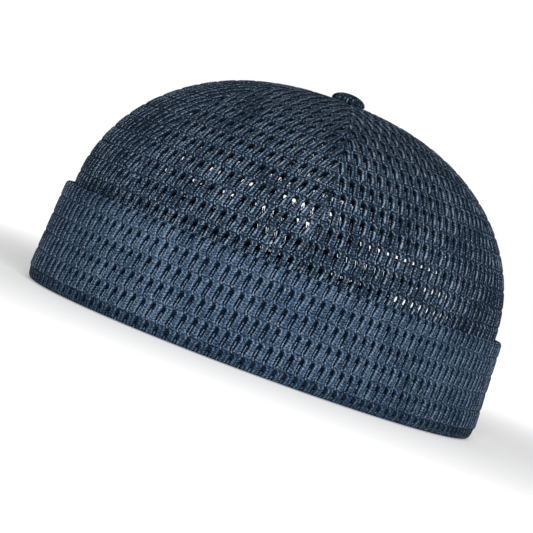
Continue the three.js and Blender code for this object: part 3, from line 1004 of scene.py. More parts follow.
@dataclass
class KnitCell:
    """One cell of the mesh knit: a slot between two wales, with a thread down its middle.

    The slot leans to one side and its upper end is a bare eyelet. Lengths are in millimetres.
    """

    pitch: float = 4.2
    row_height: float = 7.4
    foot_half: float = 0.42
    slot_half: float = 0.74
    eyelet_half: float = 1.0
    thread_half: float = 0.21
    slant: float = 0.5
    wale_rise: float = 0.7
    row_dip: float = 0.32
    thread_drop: float = 0.0
    slot_foot: float = 1.0
    thread_top: float = 4.3
    slot_top: float = 6.4
    slot_steps: int = 3
    closing: float = 0.6
    thread_share: float = 0.45
    dip_share: float = 0.45

    @property
    def eyelet(self) -> float:
        """The height of the eyelet's widest row of points."""
        return (self.thread_top + self.slot_top) / 2

    def rows(self) -> np.ndarray:
        """Returns the heights of the cell's rows of points."""
        foot, top = self.slot_foot, self.slot_top
        beside_thread = np.linspace(foot, self.thread_top, self.slot_steps + 1)
        above = (top + self.row_height) / 2
        return np.array([0.0, foot / 2, *beside_thread, self.eyelet, top, above, self.row_height])

    def slanted(self, y: np.ndarray) -> np.ndarray:
        """Returns how far the cell's slant shifts a point sideways at a height in any row."""
        within = np.mod(y, self.row_height)
        places = [0.0, self.slot_foot, self.slot_top, self.row_height]
        return np.interp(within, places, [0.0, -self.slant, self.slant, 0.0])

    def flat_map(self, points: np.ndarray) -> np.ndarray:
        """Returns each point's place in cells, with the slots' middles at whole numbers."""
        across = (points[:, 0] - self.slanted(points[:, 1])) / self.pitch
        return np.stack([across, points[:, 1] / self.row_height], axis=1)

    def sheet(self) -> tuple[np.ndarray, np.ndarray]:
        """Makes the cell's outer face.

        Returns:
            The points, with their relief as the third coordinate, and the faces.
        """
        half = self.pitch / 2
        rows = self.rows()
        last = len(rows) - 1
        places = [self.slot_foot, self.thread_top, self.eyelet, self.slot_top]
        widths = [self.foot_half, self.slot_half, self.eyelet_half, self.eyelet_half * self.closing]
        points = []
        for i, y in enumerate(rows):
            at_end = i in (0, last)
            edge = float(np.interp(0.0 if i == last else y, places, widths))
            thread = min(self.thread_half, edge * self.thread_share)
            shoulder = (half + edge) / 2
            shift = 0.0 if at_end else float(self.slanted(np.array(y)))
            dip = self.row_dip * (1.0 if at_end else self.dip_share if i in (1, last - 1) else 0.0)
            for x in (-half, -shoulder, -edge, -thread, thread, edge, shoulder, half):
                closeness = (abs(x) - thread) / (half - thread)
                rise = self.wale_rise * math.sin(closeness * math.pi / 2)
                relief = rise - self.thread_drop * (1 - closeness) - dip
                points.append((x + shift, y, relief))
        faces = []
        width = len(points) // len(rows)
        for i in range(last):
            in_slot = self.slot_foot <= rows[i] < self.slot_top
            above_thread = self.thread_top <= rows[i] < self.slot_top
            for j in range(width - 1):
                if in_slot and j in (2, 4) or above_thread and j == 3:
                    continue
                corner = i * width + j
                faces.append((corner, corner + 1, corner + width + 1, corner + width))
        return np.array(points), np.array(faces)


@dataclass
class KnitCloth:
    """Flat pierced cloth, made of one cell repeated by Geometry Nodes."""

    cell: KnitCell
    nodes: NodeMaker
    yarn: bpy.types.Material
    unevenness: float = 0.3

    def flat(self, columns: int, rows: int, seed: int) -> Cloth:
        """Returns a flat cloth of so many columns and rows, its foot at y = 0 and its middle at x = 0."""
        points, faces = self.cell.sheet()
        mesh = bpy.data.meshes.new("knit_cell")
        mesh.from_pydata(points.tolist(), [], faces.tolist())
        made = self.nodes.result(linked("knit_cell", mesh), self.nodes.knit, {
            "Columns": columns, "Rows": rows, "Pitch": self.cell.pitch, "Row Height": self.cell.row_height,
            "Unevenness": self.unevenness, "Seed": seed, "Yarn": self.yarn,
        })
        return cloth_of(made)

    def cut(self, flat: Cloth, low: np.ndarray, high: np.ndarray, foot: float, length: float) -> Cloth:
        """Cuts a flat cloth to its outline.

        Args:
            flat: the cloth.
            low: the outline's left edge at each point's height.
            high: its right edge at each point's height.
            foot: the outline's lowest height.
            length: its highest.

        Returns:
            The cloth inside the outline.
        """
        points = flat.points.copy()
        x, y = points[:, 0], points[:, 1]
        beyond = np.stack([x < low, x > high, y < foot, y > length], axis=1)
        lost = beyond[flat.faces].all(axis=1).any(axis=1)
        points[:, 0] = np.clip(x, low, high)
        points[:, 1] = np.clip(y, foot, length)
        return welded(Cloth(points, flat.faces[~lost], flat.flat))


def thickened(
    cloth: Cloth, lay: Callable[[np.ndarray], np.ndarray], thickness: float,
    back_relief: float = 0.3, crest: float = 0.7, shade: float = 0.4,
) -> Cloth:
    """Gives a flat cloth its second face and lays both on the cap, with each point's depth for the knit's
    painted shade.

    Args:
        cloth: the flat cloth, with the relief of its outer face as third coordinate.
        lay: a function that lays flat points on the cap.
        thickness: the distance between the two faces.
        back_relief: the share of the outer relief that the inner face mirrors.
        crest: the relief of the cloth's crests.
        shade: the depth, and so the painted shade, given to a relief as far below zero as the crests are
            above it.

    Returns:
        The closed cloth on the cap.
    """
    count = len(cloth.points)
    back = cloth.points.copy()
    back[:, 2] = -thickness - back_relief * back[:, 2]
    rims = cloth.open_edges()
    rim_faces = np.stack([rims[:, 1], rims[:, 0], rims[:, 0] + count, rims[:, 1] + count], axis=1)
    four = cloth.faces[:, 2] != cloth.faces[:, 3]
    turned = np.where(four[:, None], cloth.faces[:, [3, 2, 1, 0]], cloth.faces[:, [2, 1, 0, 0]])
    points = np.concatenate([lay(cloth.points), lay(back)])
    faces = np.concatenate([cloth.faces, turned + count, rim_faces])
    # Painted shade: sunk points of the outer face get some depth and the whole inner face the most, which the
    # knit's material paints darker.
    sunk = np.clip((crest - cloth.points[:, 2]) / (2 * crest), 0, 1) * shade
    depth = np.concatenate([sunk, np.ones(count)])
    return Cloth(points, faces, np.concatenate([cloth.flat, cloth.flat]), depth)


@dataclass
class Gore:
    """One gore of the crown, by the turns of its two seams in degrees."""

    name: str
    node: str
    start: float
    end: float
    seed: int


@dataclass
class Crown:
    """Six gores of mesh knit, the strips that back their seams, and the rolled arch hem."""

    STRIP_OUTLINE = ((-1, -0.35), (-0.6, -0.05), (0.6, -0.05), (1, -0.35), (0.6, -0.65), (-0.6, -0.65))

    cap: CapFrame
    knit: KnitCloth
    seam_gap: float = 0.3
    thickness: float = 0.75
    sink: float = 0.25
    groove: float = 0.4
    groove_reach: float = 0.9
    strip_half: float = 1.7
    strip_depth: float = 1.5
    strip_taper: float = 14.0
    hem_radius: float = 0.95
    hem_sink: float = 0.65
    stitches_from: float = 39.0
    stitches_end: float = 7.0
    stitch_sink: float = 1.2
    gores: list[Gore] = field(default_factory=lambda: [
        Gore("gore_front_left", "crown_panel_front_left", 0, 52, 3),
        Gore("gore_side_left", "crown_panel_side_left", 52, 116, 4),
        Gore("gore_back_left", "crown_panel_back_left", 116, 180, 5),
        Gore("gore_back_right", "crown_panel_back_right", -180, -116, 6),
        Gore("gore_side_right", "crown_panel_side_right", -116, -52, 7),
        Gore("gore_front_right", "crown_panel_front_right", -52, 0, 8),
    ])

    def __post_init__(self) -> None:
        """Works out the surface that the gores lie on."""
        self.surface = crown_surface(self.cap)

    @property
    def seams(self) -> list[float]:
        """The turn of every seam, in degrees."""
        return [self.gores[0].start, *(gore.end for gore in self.gores[:-1])]

    def above_arch(self, height: float = 0.0) -> float:
        """Returns the place along the crown that is so high above the back opening."""
        return float(np.interp(self.cap.opening_height + height, self.surface.height, self.surface.along))

    def edges(self, gore: Gore, along: np.ndarray) -> tuple[np.ndarray, np.ndarray]:
        """Returns a gore's two edges, as lengths across from its centre line, at places along it."""
        width, length, height = self.surface.at(along)
        centre = math.radians(gore.start + gore.end) / 2
        limit = self.cap.opening_turn(width, height)
        sides = []
        for seam, inwards in ((gore.start, 1), (gore.end, -1)):
            turn = np.clip(np.full_like(along, math.radians(seam)), -limit, limit)
            across = arc_length(width, length, centre, turn)
            sides.append(across + inwards * self.seam_gap / 2)
        return sides[0], np.maximum(sides[0], sides[1])

    def gore_cloth(self, gore: Gore) -> tuple[Cloth, float, float]:
        """Makes one gore on the cap.

        Returns:
            The cloth, its flat width and its flat area in square millimetres.
        """
        cell = self.knit.cell
        reach = self.surface.along[-1]
        levels = np.linspace(0, reach, 200)
        low, high = self.edges(gore, levels)
        widest = float(max(-low.min(), high.max()))
        columns = 2 * math.ceil(widest / cell.pitch) + 1
        flat = self.knit.flat(columns, math.ceil(reach / cell.row_height), gore.seed)
        low_here, high_here = self.edges(gore, np.clip(flat.points[:, 1], 0, reach))
        cut = self.knit.cut(flat, low_here, high_here, 0.0, reach)
        cut.flat = cell.flat_map(cut.points)
        centre = math.radians(gore.start + gore.end) / 2

        def lay(points: np.ndarray) -> np.ndarray:
            """Returns flat points laid on the crown, pulled in along the seams."""
            along = np.clip(points[:, 1], 0, reach)
            left, right = self.edges(gore, along)
            from_seam = np.minimum(points[:, 0] - left, right - points[:, 0])
            pulled = points[:, 2] - self.sink - self.groove * np.exp(-((from_seam / self.groove_reach) ** 2))
            return self.surface.point(self.surface.turn_of(points[:, 0], along, centre), along, pulled)

        area = float(np.sum(high - low) * (levels[1] - levels[0]))
        return thickened(cut, lay, self.thickness), float((high - low).max()), area

    def strip(self, seam: float) -> Cloth:
        """Returns the strip of cloth that backs one seam, from the foot or the arch to the button."""
        surface, cell = self.surface, self.knit.cell
        along = np.linspace(self.above_arch() if seam == 180 else 0.0, surface.along[-1], 90)
        width, length, _ = surface.at(along)
        turn = math.radians(seam)
        pace = np.hypot(width * math.cos(turn), length * math.sin(turn))
        taper = np.minimum(1, pace / self.strip_taper)
        rings, flat = [], []
        for across, drop in self.STRIP_OUTLINE:
            reach = across * self.strip_half
            sunk = np.full_like(along, drop - self.strip_depth)
            rings.append(surface.point(turn + reach * taper / pace, along, sunk))
            flat.append(np.stack([np.full_like(along, reach / cell.pitch), along / cell.row_height], axis=-1))
        return tube(np.stack(rings, axis=1), np.stack(flat, axis=1))

    def arch(self, count: int) -> tuple[np.ndarray, np.ndarray]:
        """Returns turns and places along the crown that follow the opening's edge over the arch."""
        surface = self.surface
        swing = np.linspace(0, math.pi, count)
        height = np.maximum(self.cap.opening_height * np.sin(swing), self.cap.crown_foot)
        along = np.interp(height, surface.height, surface.along)
        width = np.interp(along, surface.along, surface.half_width)
        limit = np.pi - np.arcsin(np.clip(self.cap.opening_half_width * np.cos(swing) / width, -1, 1))
        return limit, along

    def hem(self) -> Cloth:
        """Returns the rolled hem along the arch of the back opening."""
        turn, along = self.arch(150)
        centre = self.surface.point(turn, along, np.full_like(along, -self.hem_sink))
        outward = self.surface.point(turn, along, np.full_like(along, 1 - self.hem_sink)) - centre
        rows = line_lengths(centre) / self.knit.cell.row_height
        return rolled(centre, outward, (self.hem_radius, self.hem_radius), 8, rows)

    def seam_runs(self) -> list[tuple[np.ndarray, np.ndarray]]:
        """Returns the runs of stitches in the grooves between the gores."""
        runs = []
        for seam in self.seams:
            start = self.above_arch(1.0) if seam == 180 else self.stitches_from
            along = np.linspace(start, self.surface.along[-1] - self.stitches_end, 120)
            turn = np.full_like(along, math.radians(seam))
            line = self.surface.point(turn, along, np.full_like(along, -self.stitch_sink))
            above = self.surface.point(turn, along, np.full_like(along, 1 - self.stitch_sink))
            runs.append((line, above - line))
        return runs

    def build(self, shop: Workshop) -> None:
        """Makes every gore, the seams' strips and the hem."""
        for gore in self.gores:
            cloth, width, area = self.gore_cloth(gore)
            piece = shop.add(gore.name, cloth, self.knit.yarn, Slot.KNIT, gore.node)
        strips = Cloth.joined([self.strip(seam) for seam in self.seams])
        shop.add("seam_backing", strips, self.knit.yarn, Slot.KNIT)
        shop.add("arch_hem", self.hem(), self.knit.yarn, Slot.KNIT)


@dataclass
class Cuff:
    """The turned-up cuff: a plain foot, pierced rows up the outside to the fold, and a plain inner leaf."""

    FOOT_CURVE = ((4.8, 0.0), (2.4, 0.0), (1.5, 0.35), (0.75, 1.3), (0.3, 3.0))
    LOW_CORNER = 2

    cap: CapFrame
    knit: KnitCloth
    rows: int = 5
    leaf: float = 0.95
    sink: float = 0.5
    fold_depth: float = 2.9
    first_row: float = 5.0
    hem_height: float = 3.2
    squeeze: float = 1.6
    pressed: float = 0.45
    painted_foot_shade: float = 0.45
    low_unevenness: float = 0.1
    plain_relief: float = 0.12
    foot_step: float = 0.8
    inner_step: float = 3.0
    binding_inset: float = 1.5
    binding_gap: float = 0.2
    binding_radii: tuple[float, float] = (1.85, 0.9)

    def __post_init__(self) -> None:
        """Works out the path from the foot over the fold to the inner hem, and a table round the rim."""
        radius = self.fold_depth / 2
        spring = self.cap.cuff_height - radius
        fold = [
            (radius - radius * math.cos(angle), spring + radius * math.sin(angle))
            for angle in np.linspace(0, math.pi, 9)
        ]
        path = [*self.FOOT_CURVE, (0.0, self.first_row), *fold, (self.fold_depth, self.hem_height)]
        self.surface = path_surface(self.cap, path)
        corners = line_lengths(np.array(path))
        self.low_start = float(corners[self.LOW_CORNER])
        self.row_start = float(corners[len(self.FOOT_CURVE)])
        self.turns = np.linspace(0, math.pi, 900)
        width, length = self.cap.layer(0.0, self.cap.cuff_height / 2)
        pace = np.hypot(width * np.cos(self.turns), length * np.sin(self.turns))
        steps = (pace[1:] + pace[:-1]) / 2 * np.diff(self.turns)
        self.lengths = np.concatenate([[0], np.cumsum(steps)])

    def ends(self, along: np.ndarray) -> np.ndarray:
        """Returns how far the cuff reaches from the front centre at places along its path."""
        width, _, height = self.surface.at(along)
        return np.interp(self.cap.opening_turn(width, height), self.turns, self.lengths)

    def laid(self, points: np.ndarray) -> np.ndarray:
        """Returns flat points laid on the cuff, with its two ends pressed thin."""
        along = points[:, 1]
        from_end = self.ends(along) - np.abs(points[:, 0])
        press = 1 - np.exp(-((from_end / self.squeeze) ** 2))
        middle = -self.leaf / 2
        proud = middle + (points[:, 2] - self.sink - middle) * (self.pressed + (1 - self.pressed) * press)
        turn = np.sign(points[:, 0]) * np.interp(np.abs(points[:, 0]), self.lengths, self.turns)
        return self.surface.point(turn, along, proud)

    def pierced(self, knit: KnitCloth, columns: int, rows: int, foot: float, seed: int) -> Cloth:
        """Returns rows of pierced knit that start at a place along the path."""
        flat = knit.flat(columns, rows, seed)
        flat.points[:, 1] += foot
        ends = self.ends(flat.points[:, 1])
        return knit.cut(flat, -ends, ends, foot, foot + rows * knit.cell.row_height)

    def plain(self, low: float, high: float, step: float, columns: int) -> Cloth:
        """Returns plain cloth between two places along the path, with a row of points about every step."""
        places = np.linspace(low, high, max(2, round((high - low) / step) + 1))
        across = np.linspace(-1, 1, columns + 1)
        ends = self.ends(places)
        points = np.stack(np.broadcast_arrays(
            across[None, :] * ends[:, None], places[:, None], self.plain_relief,
        ), axis=-1).reshape(-1, 3)
        index = np.arange(len(points)).reshape(len(places), -1)
        faces = np.stack([index[:-1, :-1], index[:-1, 1:], index[1:, 1:], index[1:, :-1]], axis=-1)
        return Cloth(points, faces.reshape(-1, 4), points[:, :2].copy())

    def tight_knit(self) -> KnitCloth:
        """Returns the knit of the low row, which is pulled tight round the foot."""
        cell = KnitCell(
            row_height=self.row_start - self.low_start, foot_half=0.2, slot_half=0.34, eyelet_half=0.38,
            thread_half=0.1, slant=0.1, wale_rise=0.2, row_dip=0.0, thread_drop=0.3, slot_foot=1.0,
            thread_top=2.2, slot_top=2.9, slot_steps=2,
        )
        return KnitCloth(cell, self.knit.nodes, self.knit.yarn, self.low_unevenness)

    def binding(self, side: int) -> Cloth:
        """Returns the binding of one end of the cuff, on the +X side for 1 and on the -X side for -1."""
        half = self.binding_radii[1]
        height = np.linspace(half + 0.1, self.cap.cuff_height - half, 40)
        width, length = self.cap.layer(self.binding_inset, height)
        turn = side * (self.cap.opening_turn(width, height) - self.binding_gap / width)
        centre = on_oval(width, length, turn, height)
        outward = unit(on_oval(length, width, turn, 0.0))
        return rolled(centre, outward, self.binding_radii, 14, height / self.knit.cell.row_height)

    def build(self, shop: Workshop) -> None:
        """Makes the cuff out of its four stretches, and the binding on its ends."""
        cell = self.knit.cell
        along = self.surface.along
        edges = self.ends(along)
        reach, end = float(edges.max()), float(along[-1])
        columns = 2 * math.ceil(reach / cell.pitch) + 1
        top = self.row_start + self.rows * cell.row_height
        stretches = (
            (self.pierced(self.knit, columns, self.rows, self.row_start, 11), 0.0),
            (self.pierced(self.tight_knit(), columns, 1, self.low_start, 12), self.painted_foot_shade),
            (self.plain(0.0, self.low_start, self.foot_step, columns), self.painted_foot_shade),
            (self.plain(top, end, self.inner_step, columns), 0.0),
        )
        sheets = []
        for cloth, painted_shade in stretches:
            cloth.flat = cell.flat_map(cloth.points - np.array([0.0, self.row_start, 0.0]))
            sheet = thickened(cloth, self.laid, self.leaf)
            # Painted shade: the foot, which turns under the cuff, is painted darker through a least depth.
            sheet.depth = np.maximum(sheet.depth, painted_shade)
            sheets.append(sheet)
        piece = shop.add("turned_cuff", Cloth.joined(sheets), self.knit.yarn, Slot.KNIT, "cuff")
        area = float(np.sum((edges[1:] + edges[:-1]) * np.diff(along)))
        bindings = Cloth.joined([self.binding(side) for side in (-1, 1)])
        shop.add("cuff_end_binding", bindings, self.knit.yarn, Slot.KNIT)


@dataclass
class Sweatband:
    """The smooth band inside the crown, with soft edges and a slight ripple along its top."""

    cap: CapFrame
    inset: float = 5.25
    wall: float = 0.95
    foot: float = 0.5
    top: float = 32.0
    edge_reach: float = 2.0
    ripple: float = 0.12
    ripple_pace: float = 41.0
    ripple_reach: float = 6.0
    stitches_above_foot: float = 2.2
    stitches_below_top: float = 2.4

    def section(self) -> np.ndarray:
        """Returns the band's outline as (inset, height) pairs, clockwise seen along the path."""
        half = self.wall / 2
        middle = self.inset + half
        rounding = [
            (middle + half * math.cos(angle), math.sin(angle) * half)
            for angle in np.linspace(0, math.pi, 7)
        ]
        upper = [(inset, self.top - half + rise) for inset, rise in rounding]
        lower = [(2 * middle - inset, self.foot + half - rise) for inset, rise in rounding]
        sides = np.linspace(self.foot + self.edge_reach, self.top - self.edge_reach, 7)
        outer = [(self.inset, z) for z in sides[::-1]]
        inner = [(self.inset + self.wall, z) for z in sides]
        return np.array([*upper, *outer, *lower, *inner])

    def build(self, shop: Workshop, cloth: bpy.types.Material) -> None:
        """Makes the band round the front, from one side of the opening to the other."""
        section = self.section()
        height = section[None, :, 1]
        width, length = self.cap.layer(section[:, 0], section[:, 1])
        share = np.linspace(-1, 1, 181)[:, None]
        turn = share * self.cap.opening_turn(width, section[:, 1])[None, :]
        ripple = self.ripple * np.sin(share * self.ripple_pace)
        ripple = ripple * np.exp(-((height - self.top) / self.ripple_reach) ** 2)
        rings = on_oval(width[None, :] - ripple, length[None, :] - ripple, turn, height)
        run = turn * (width + length)[None, :] / 2
        flat = np.stack(np.broadcast_arrays(run, line_lengths(section)[None, :]), axis=-1)
        piece = shop.add("inner_sweatband", tube(rings, flat), cloth, Slot.SMOOTH, "sweatband")

    def stitch_runs(self) -> list[tuple[np.ndarray, np.ndarray]]:
        """Returns the runs of the band's two rows of stitches, on its inner face."""
        runs = []
        for z in (self.foot + self.stitches_above_foot, self.top - self.stitches_below_top):
            width, length = self.cap.layer(self.inset + self.wall + 0.1, z)
            limit = float(self.cap.opening_turn(np.array(width), np.array(z))) - 0.01
            turn = np.linspace(-limit, limit, 600)
            runs.append((on_oval(width, length, turn, z), on_oval(-1.0, -1.0, turn, 0.0)))
        return runs


@dataclass
class TopButton:
    """The covered button where the gores meet, as (radius, height) pairs, and its plate underneath."""

    PLATE = ((5.0, -0.7), (5.0, -0.1), (1.7, 0.0))
    COVER = (
        (1.7, 0.0), (4.2, -0.35), (6.2, -0.15), (6.75, 0.4), (6.8, 1.2), (6.35, 2.1), (5.2, 2.95),
        (3.7, 3.55), (1.9, 3.9), (0.7, 4.0),
    )

    cap: CapFrame
    gap: float = 0.3
    crown_wall: float = 1.3
    gathers: int = 12
    gather_depth: float = 0.16
    gather_height: float = 0.6
    gather_reach: float = 1.1

    def build(self, shop: Workshop, yarn: bpy.types.Material) -> None:
        """Makes the button's cover, its stem and the plate under the crown."""
        under = self.cap.crown_top + self.gap
        plate = self.cap.crown_top - self.crown_wall - self.gap
        profile = [(radius, plate + rise) for radius, rise in self.PLATE]
        profile += [(radius, under + rise) for radius, rise in self.COVER]
        radius, height = np.array(profile).T[:, :, None]
        angles = np.linspace(0, 2 * math.pi, 72, endpoint=False)[None, :]
        gather = self.gather_depth * np.exp(-((height - under - self.gather_height) / self.gather_reach) ** 2)
        spread = radius + gather * np.sin(angles * self.gathers)
        places = np.broadcast_arrays(spread * np.cos(angles), spread * np.sin(angles), height)
        rings = np.stack(places, axis=-1)
        flat = rings[:, :, :2] / np.array([KnitCell.pitch, KnitCell.row_height])
        shop.add("covered_button", tube(rings, flat), yarn, Slot.KNIT, "top_button")


def smooth_line(corners: np.ndarray, step: float) -> np.ndarray:
    """Samples a centripetal curve through corners at even steps.

    Args:
        corners: the points that the curve passes.
        step: the length of one step.

    Returns:
        The points of the curve.
    """
    ghost = np.concatenate([[2 * corners[0] - corners[1]], corners, [2 * corners[-1] - corners[-2]]])
    fine = []
    for i in range(1, len(ghost) - 2):
        p0, p1, p2, p3 = ghost[i - 1:i + 3]
        d1, d2, d3 = (np.linalg.norm(b - a) ** 0.5 for a, b in ((p0, p1), (p1, p2), (p2, p3)))
        t1 = (p1 - p0) / d1 - (p2 - p0) / (d1 + d2) + (p2 - p1) / d2
        t2 = (p2 - p1) / d2 - (p3 - p1) / (d2 + d3) + (p3 - p2) / d3
        t1, t2 = t1 * d2, t2 * d2
        s = np.linspace(0, 1, 24, endpoint=False)[:, None]
        c2 = -3 * p1 + 3 * p2 - 2 * t1 - t2
        c3 = 2 * p1 - 2 * p2 + t1 + t2
        fine.append(p1 + t1 * s + c2 * s**2 + c3 * s**3)
    fine = np.concatenate([*fine, corners[-1:]])
    length = line_lengths(fine)
    return sampled(fine, length, np.linspace(0, length[-1], max(2, round(length[-1] / step) + 1)))


@dataclass
class SlideBuckle:
    """The moulded buckle: a flat plate with rounded edges and two slots.

    The plate and the slots are given as (middle, half width, half height, corner radius).
    """

    plate: tuple[float, float, float, float] = (0.0, 10.0, 11.0, 2.4)
    slots: tuple = ((-4.35, 3.05, 9.2, 0.8), (4.35, 3.05, 9.2, 0.8))
    half_thickness: float = 1.2
    rounding: float = 0.55
    rounding_steps: int = 3
    cut_reach: float = 9.0
    cut_spacing: float = 1.5

    @staticmethod
    def outline(middle: float, half_width: float, half_height: float, corner: float) -> list[tuple]:
        """Returns the points round a rectangle with round corners."""
        places = []
        for quarter, (side, way) in enumerate(((1, 1), (-1, 1), (-1, -1), (1, -1))):
            for angle in np.linspace(0, math.pi / 2, 6) + quarter * math.pi / 2:
                x = side * (half_width - corner) + corner * math.cos(angle)
                y = way * (half_height - corner) + corner * math.sin(angle)
                places.append((middle + x, y, 0, 1))
        return places

    def flat(self) -> Cloth:
        """Returns the buckle lying flat, cut across so that it can be bent."""
        curve = bpy.data.curves.new("buckle", "CURVE")
        curve.dimensions = "2D"
        curve.fill_mode = "BOTH"
        curve.extrude = self.half_thickness - self.rounding
        curve.bevel_depth = self.rounding
        curve.bevel_resolution = self.rounding_steps
        for shape, inwards in ((self.plate, self.rounding), *((slot, -self.rounding) for slot in self.slots)):
            middle, half_width, half_height, corner = shape
            places = self.outline(middle, half_width - inwards, half_height - inwards, corner)
            spline = curve.splines.new("POLY")
            spline.points.add(len(places) - 1)
            for point, place in zip(spline.points, places):
                point.co = place
            spline.use_cyclic_u = True
        source = linked("buckle", curve)
        mesh = evaluated(source)
        bpy.data.objects.remove(source)
        bpy.data.curves.remove(curve)
        body = bmesh.new()
        body.from_mesh(mesh)
        bmesh.ops.remove_doubles(body, verts=body.verts, dist=0.01)
        for cut in np.arange(-self.cut_reach, self.cut_reach + 1, self.cut_spacing):
            geometry = [*body.verts, *body.edges, *body.faces]
            bmesh.ops.bisect_plane(body, geom=geometry, plane_co=(cut, 0, 0), plane_no=(1, 0, 0))
        bmesh.ops.triangulate(body, faces=body.faces)
        bmesh.ops.recalc_face_normals(body, faces=body.faces)
        body.to_mesh(mesh)
        body.free()
        return cloth_of(mesh)


@dataclass
class BackStrap:
    """Two webbing straps across the opening, and the slide buckle that they meet at.

    A line is the middle of a strap's webbing near the buckle, as (along, outwards) pairs.
    """

    FIXED_LINE = (
        (-26, 0), (-16, 0), (-12.6, 0.9), (-10.6, 1.9), (-8.9, 2.1), (-7.7, 2.05), (-6.9, 1.75),
        (-6.5, 1.0), (-6.5, -1.0), (-6.9, -1.75), (-7.7, -2.05), (-8.9, -2.1), (-10.8, -1.95),
        (-13.2, -1.5), (-17, -1.4), (-25, -1.4),
    )
    SLIDING_LINE = (
        (24, 0), (16, 0), (12.6, 0.9), (10.6, 1.95), (8.9, 2.15), (7.4, 2.1), (6.2, 1.7), (4.4, 0),
        (2.6, -1.6), (1.3, -2.1), (0, -2.2), (-1.3, -2.05), (-2.4, -1.5), (-3.8, 0.3), (-5.1, 2.4),
        (-6.6, 3.35), (-9, 3.55), (-11.5, 3.3), (-14, 2.4), (-17, 1.6), (-20, 1.4), (-34, 1.4),
    )

    cap: CapFrame
    width: float = 17.5
    webbing: float = 1.0
    foot: float = 2.7
    inset: float = 7.0
    end: float = 51.0
    straight_to: float = 34.0
    buckle_at: float = 12.5
    step: float = 0.7

    def bent(self, points: np.ndarray) -> np.ndarray:
        """Bends points from a flat layout, along, outwards and up, to the back of the cap."""
        half_width, half_length = self.cap.layer(self.inset, 0.0)
        turn = np.pi - np.arcsin(points[..., 0] / half_width)
        outwards = points[..., 1] - self.cap.lean(points[..., 2])
        return on_oval(half_width + outwards, half_length + outwards, turn, points[..., 2])

    def ribbon(self, line: list[tuple[float, float]]) -> Cloth:
        """Returns webbing with soft selvedges that follows a centre line of (along, outwards) pairs."""
        centre = smooth_line(np.array(line, float), self.step)
        way = unit(np.gradient(centre, axis=0))
        half = self.webbing / 2
        edge = [(half * math.cos(a), half * math.sin(a)) for a in np.linspace(0, math.pi, 6)]
        body = np.linspace(half, self.width - half, 8)[1:-1]
        section = [(out, self.width - half + up) for out, up in edge]
        section += [(-half, z) for z in body[::-1]]
        section += [(-out, half - up) for out, up in edge]
        section += [(half, z) for z in body]
        out, up = np.array(section).T[:, None, :]
        places = np.broadcast_arrays(
            centre[:, :1] - way[:, 1:] * out, centre[:, 1:] + way[:, :1] * out, self.foot + up,
        )
        flat = np.stack(np.broadcast_arrays(line_lengths(centre)[:, None], up), axis=-1)
        return tube(self.bent(np.stack(places, axis=-1)), flat)

    def buckle(self) -> Cloth:
        """Returns the buckle upright between the straps, bent to the back of the cap."""
        flat = SlideBuckle().flat()
        across, up, out = flat.points.T
        upright = np.stack([across + self.buckle_at, out, up + self.foot + self.width / 2], axis=1)
        return Cloth(self.bent(upright), flat.faces[:, [2, 1, 0, 0]], flat.flat)

    def build(self, shop: Workshop, webbing: bpy.types.Material, plastic: bpy.types.Material) -> None:
        """Makes both straps and the buckle."""
        fixed, sliding = (
            [(self.buckle_at + x, y) for x, y in line] for line in (self.FIXED_LINE, self.SLIDING_LINE)
        )
        looped = self.ribbon([(-self.end, 0), (-self.straight_to, 0), *fixed])
        shop.add("looped_strap", looped, webbing, Slot.WEBBING, "fixed_strap")
        threaded = self.ribbon([(self.end, 0), *sliding])
        shop.add("sliding_strap", threaded, webbing, Slot.WEBBING, "adjusting_strap")
        shop.add("moulded_buckle", self.buckle(), plastic, Slot.PLASTIC, "slide_buckle")


@dataclass
class Stitching:
    """Stitches of sewing thread, laid along runs of points by Geometry Nodes."""

    cap: CapFrame
    nodes: NodeMaker
    thread: bpy.types.Material
    length: float = 2.1
    width: float = 0.5
    height: float = 0.42
    spacing: float = 2.7
    aim: float = 0.3

    def lay(self, name: str, runs: list[tuple[np.ndarray, np.ndarray]], slot: Slot, seed: int) -> None:
        """Lays stitches along runs and makes them one piece.

        Args:
            name: the piece's name.
            runs: for each run, its points and the outward direction at each.
            slot: the finish that the stitches take; not used.
            seed: the seed of their unevenness.
        """
        places, ways, outs = [], [], []
        for line, outward in runs:
            length = line_lengths(line)
            even = np.arange(self.spacing / 2, length[-1], self.spacing)
            places.append(self.cap.placed(sampled(line, length, even)))
            ways.append(sampled(line, length, even + self.aim) - sampled(line, length, even - self.aim))
            outs.append(sampled(outward, length, even))
        mesh = bpy.data.meshes.new(name)
        mesh.from_pydata(np.concatenate(places).tolist(), [], [])
        for label, values in (("along", ways), ("outward", outs)):
            attribute = mesh.attributes.new(label, "FLOAT_VECTOR", "POINT")
            attribute.data.foreach_set("vector", np.concatenate(values).astype(np.float32).ravel())
        made = self.nodes.result(linked(name + "_points", mesh), self.nodes.stitch, {
            "Stitch Length": self.length * MM, "Stitch Width": self.width * MM,
            "Stitch Height": self.height * MM, "Seed": seed, "Thread": self.thread,
        })
        made.name = name
        Workshop.finish(linked(name, made), slot)


def direction(azimuth: float, elevation: float) -> Vector:
    """Returns the direction at a turn from the front towards +X and a height, both in degrees."""
    turn, rise = math.radians(azimuth), math.radians(elevation)
    return Vector((math.sin(turn) * math.cos(rise), -math.cos(turn) * math.cos(rise), math.sin(rise)))


@dataclass(frozen=True)
class Lamp:
    """A square soft light, by its turn away from the camera and its height in degrees."""

    name: str
    turn: float
    elevation: float
    distance: float
    size: float
    power: float


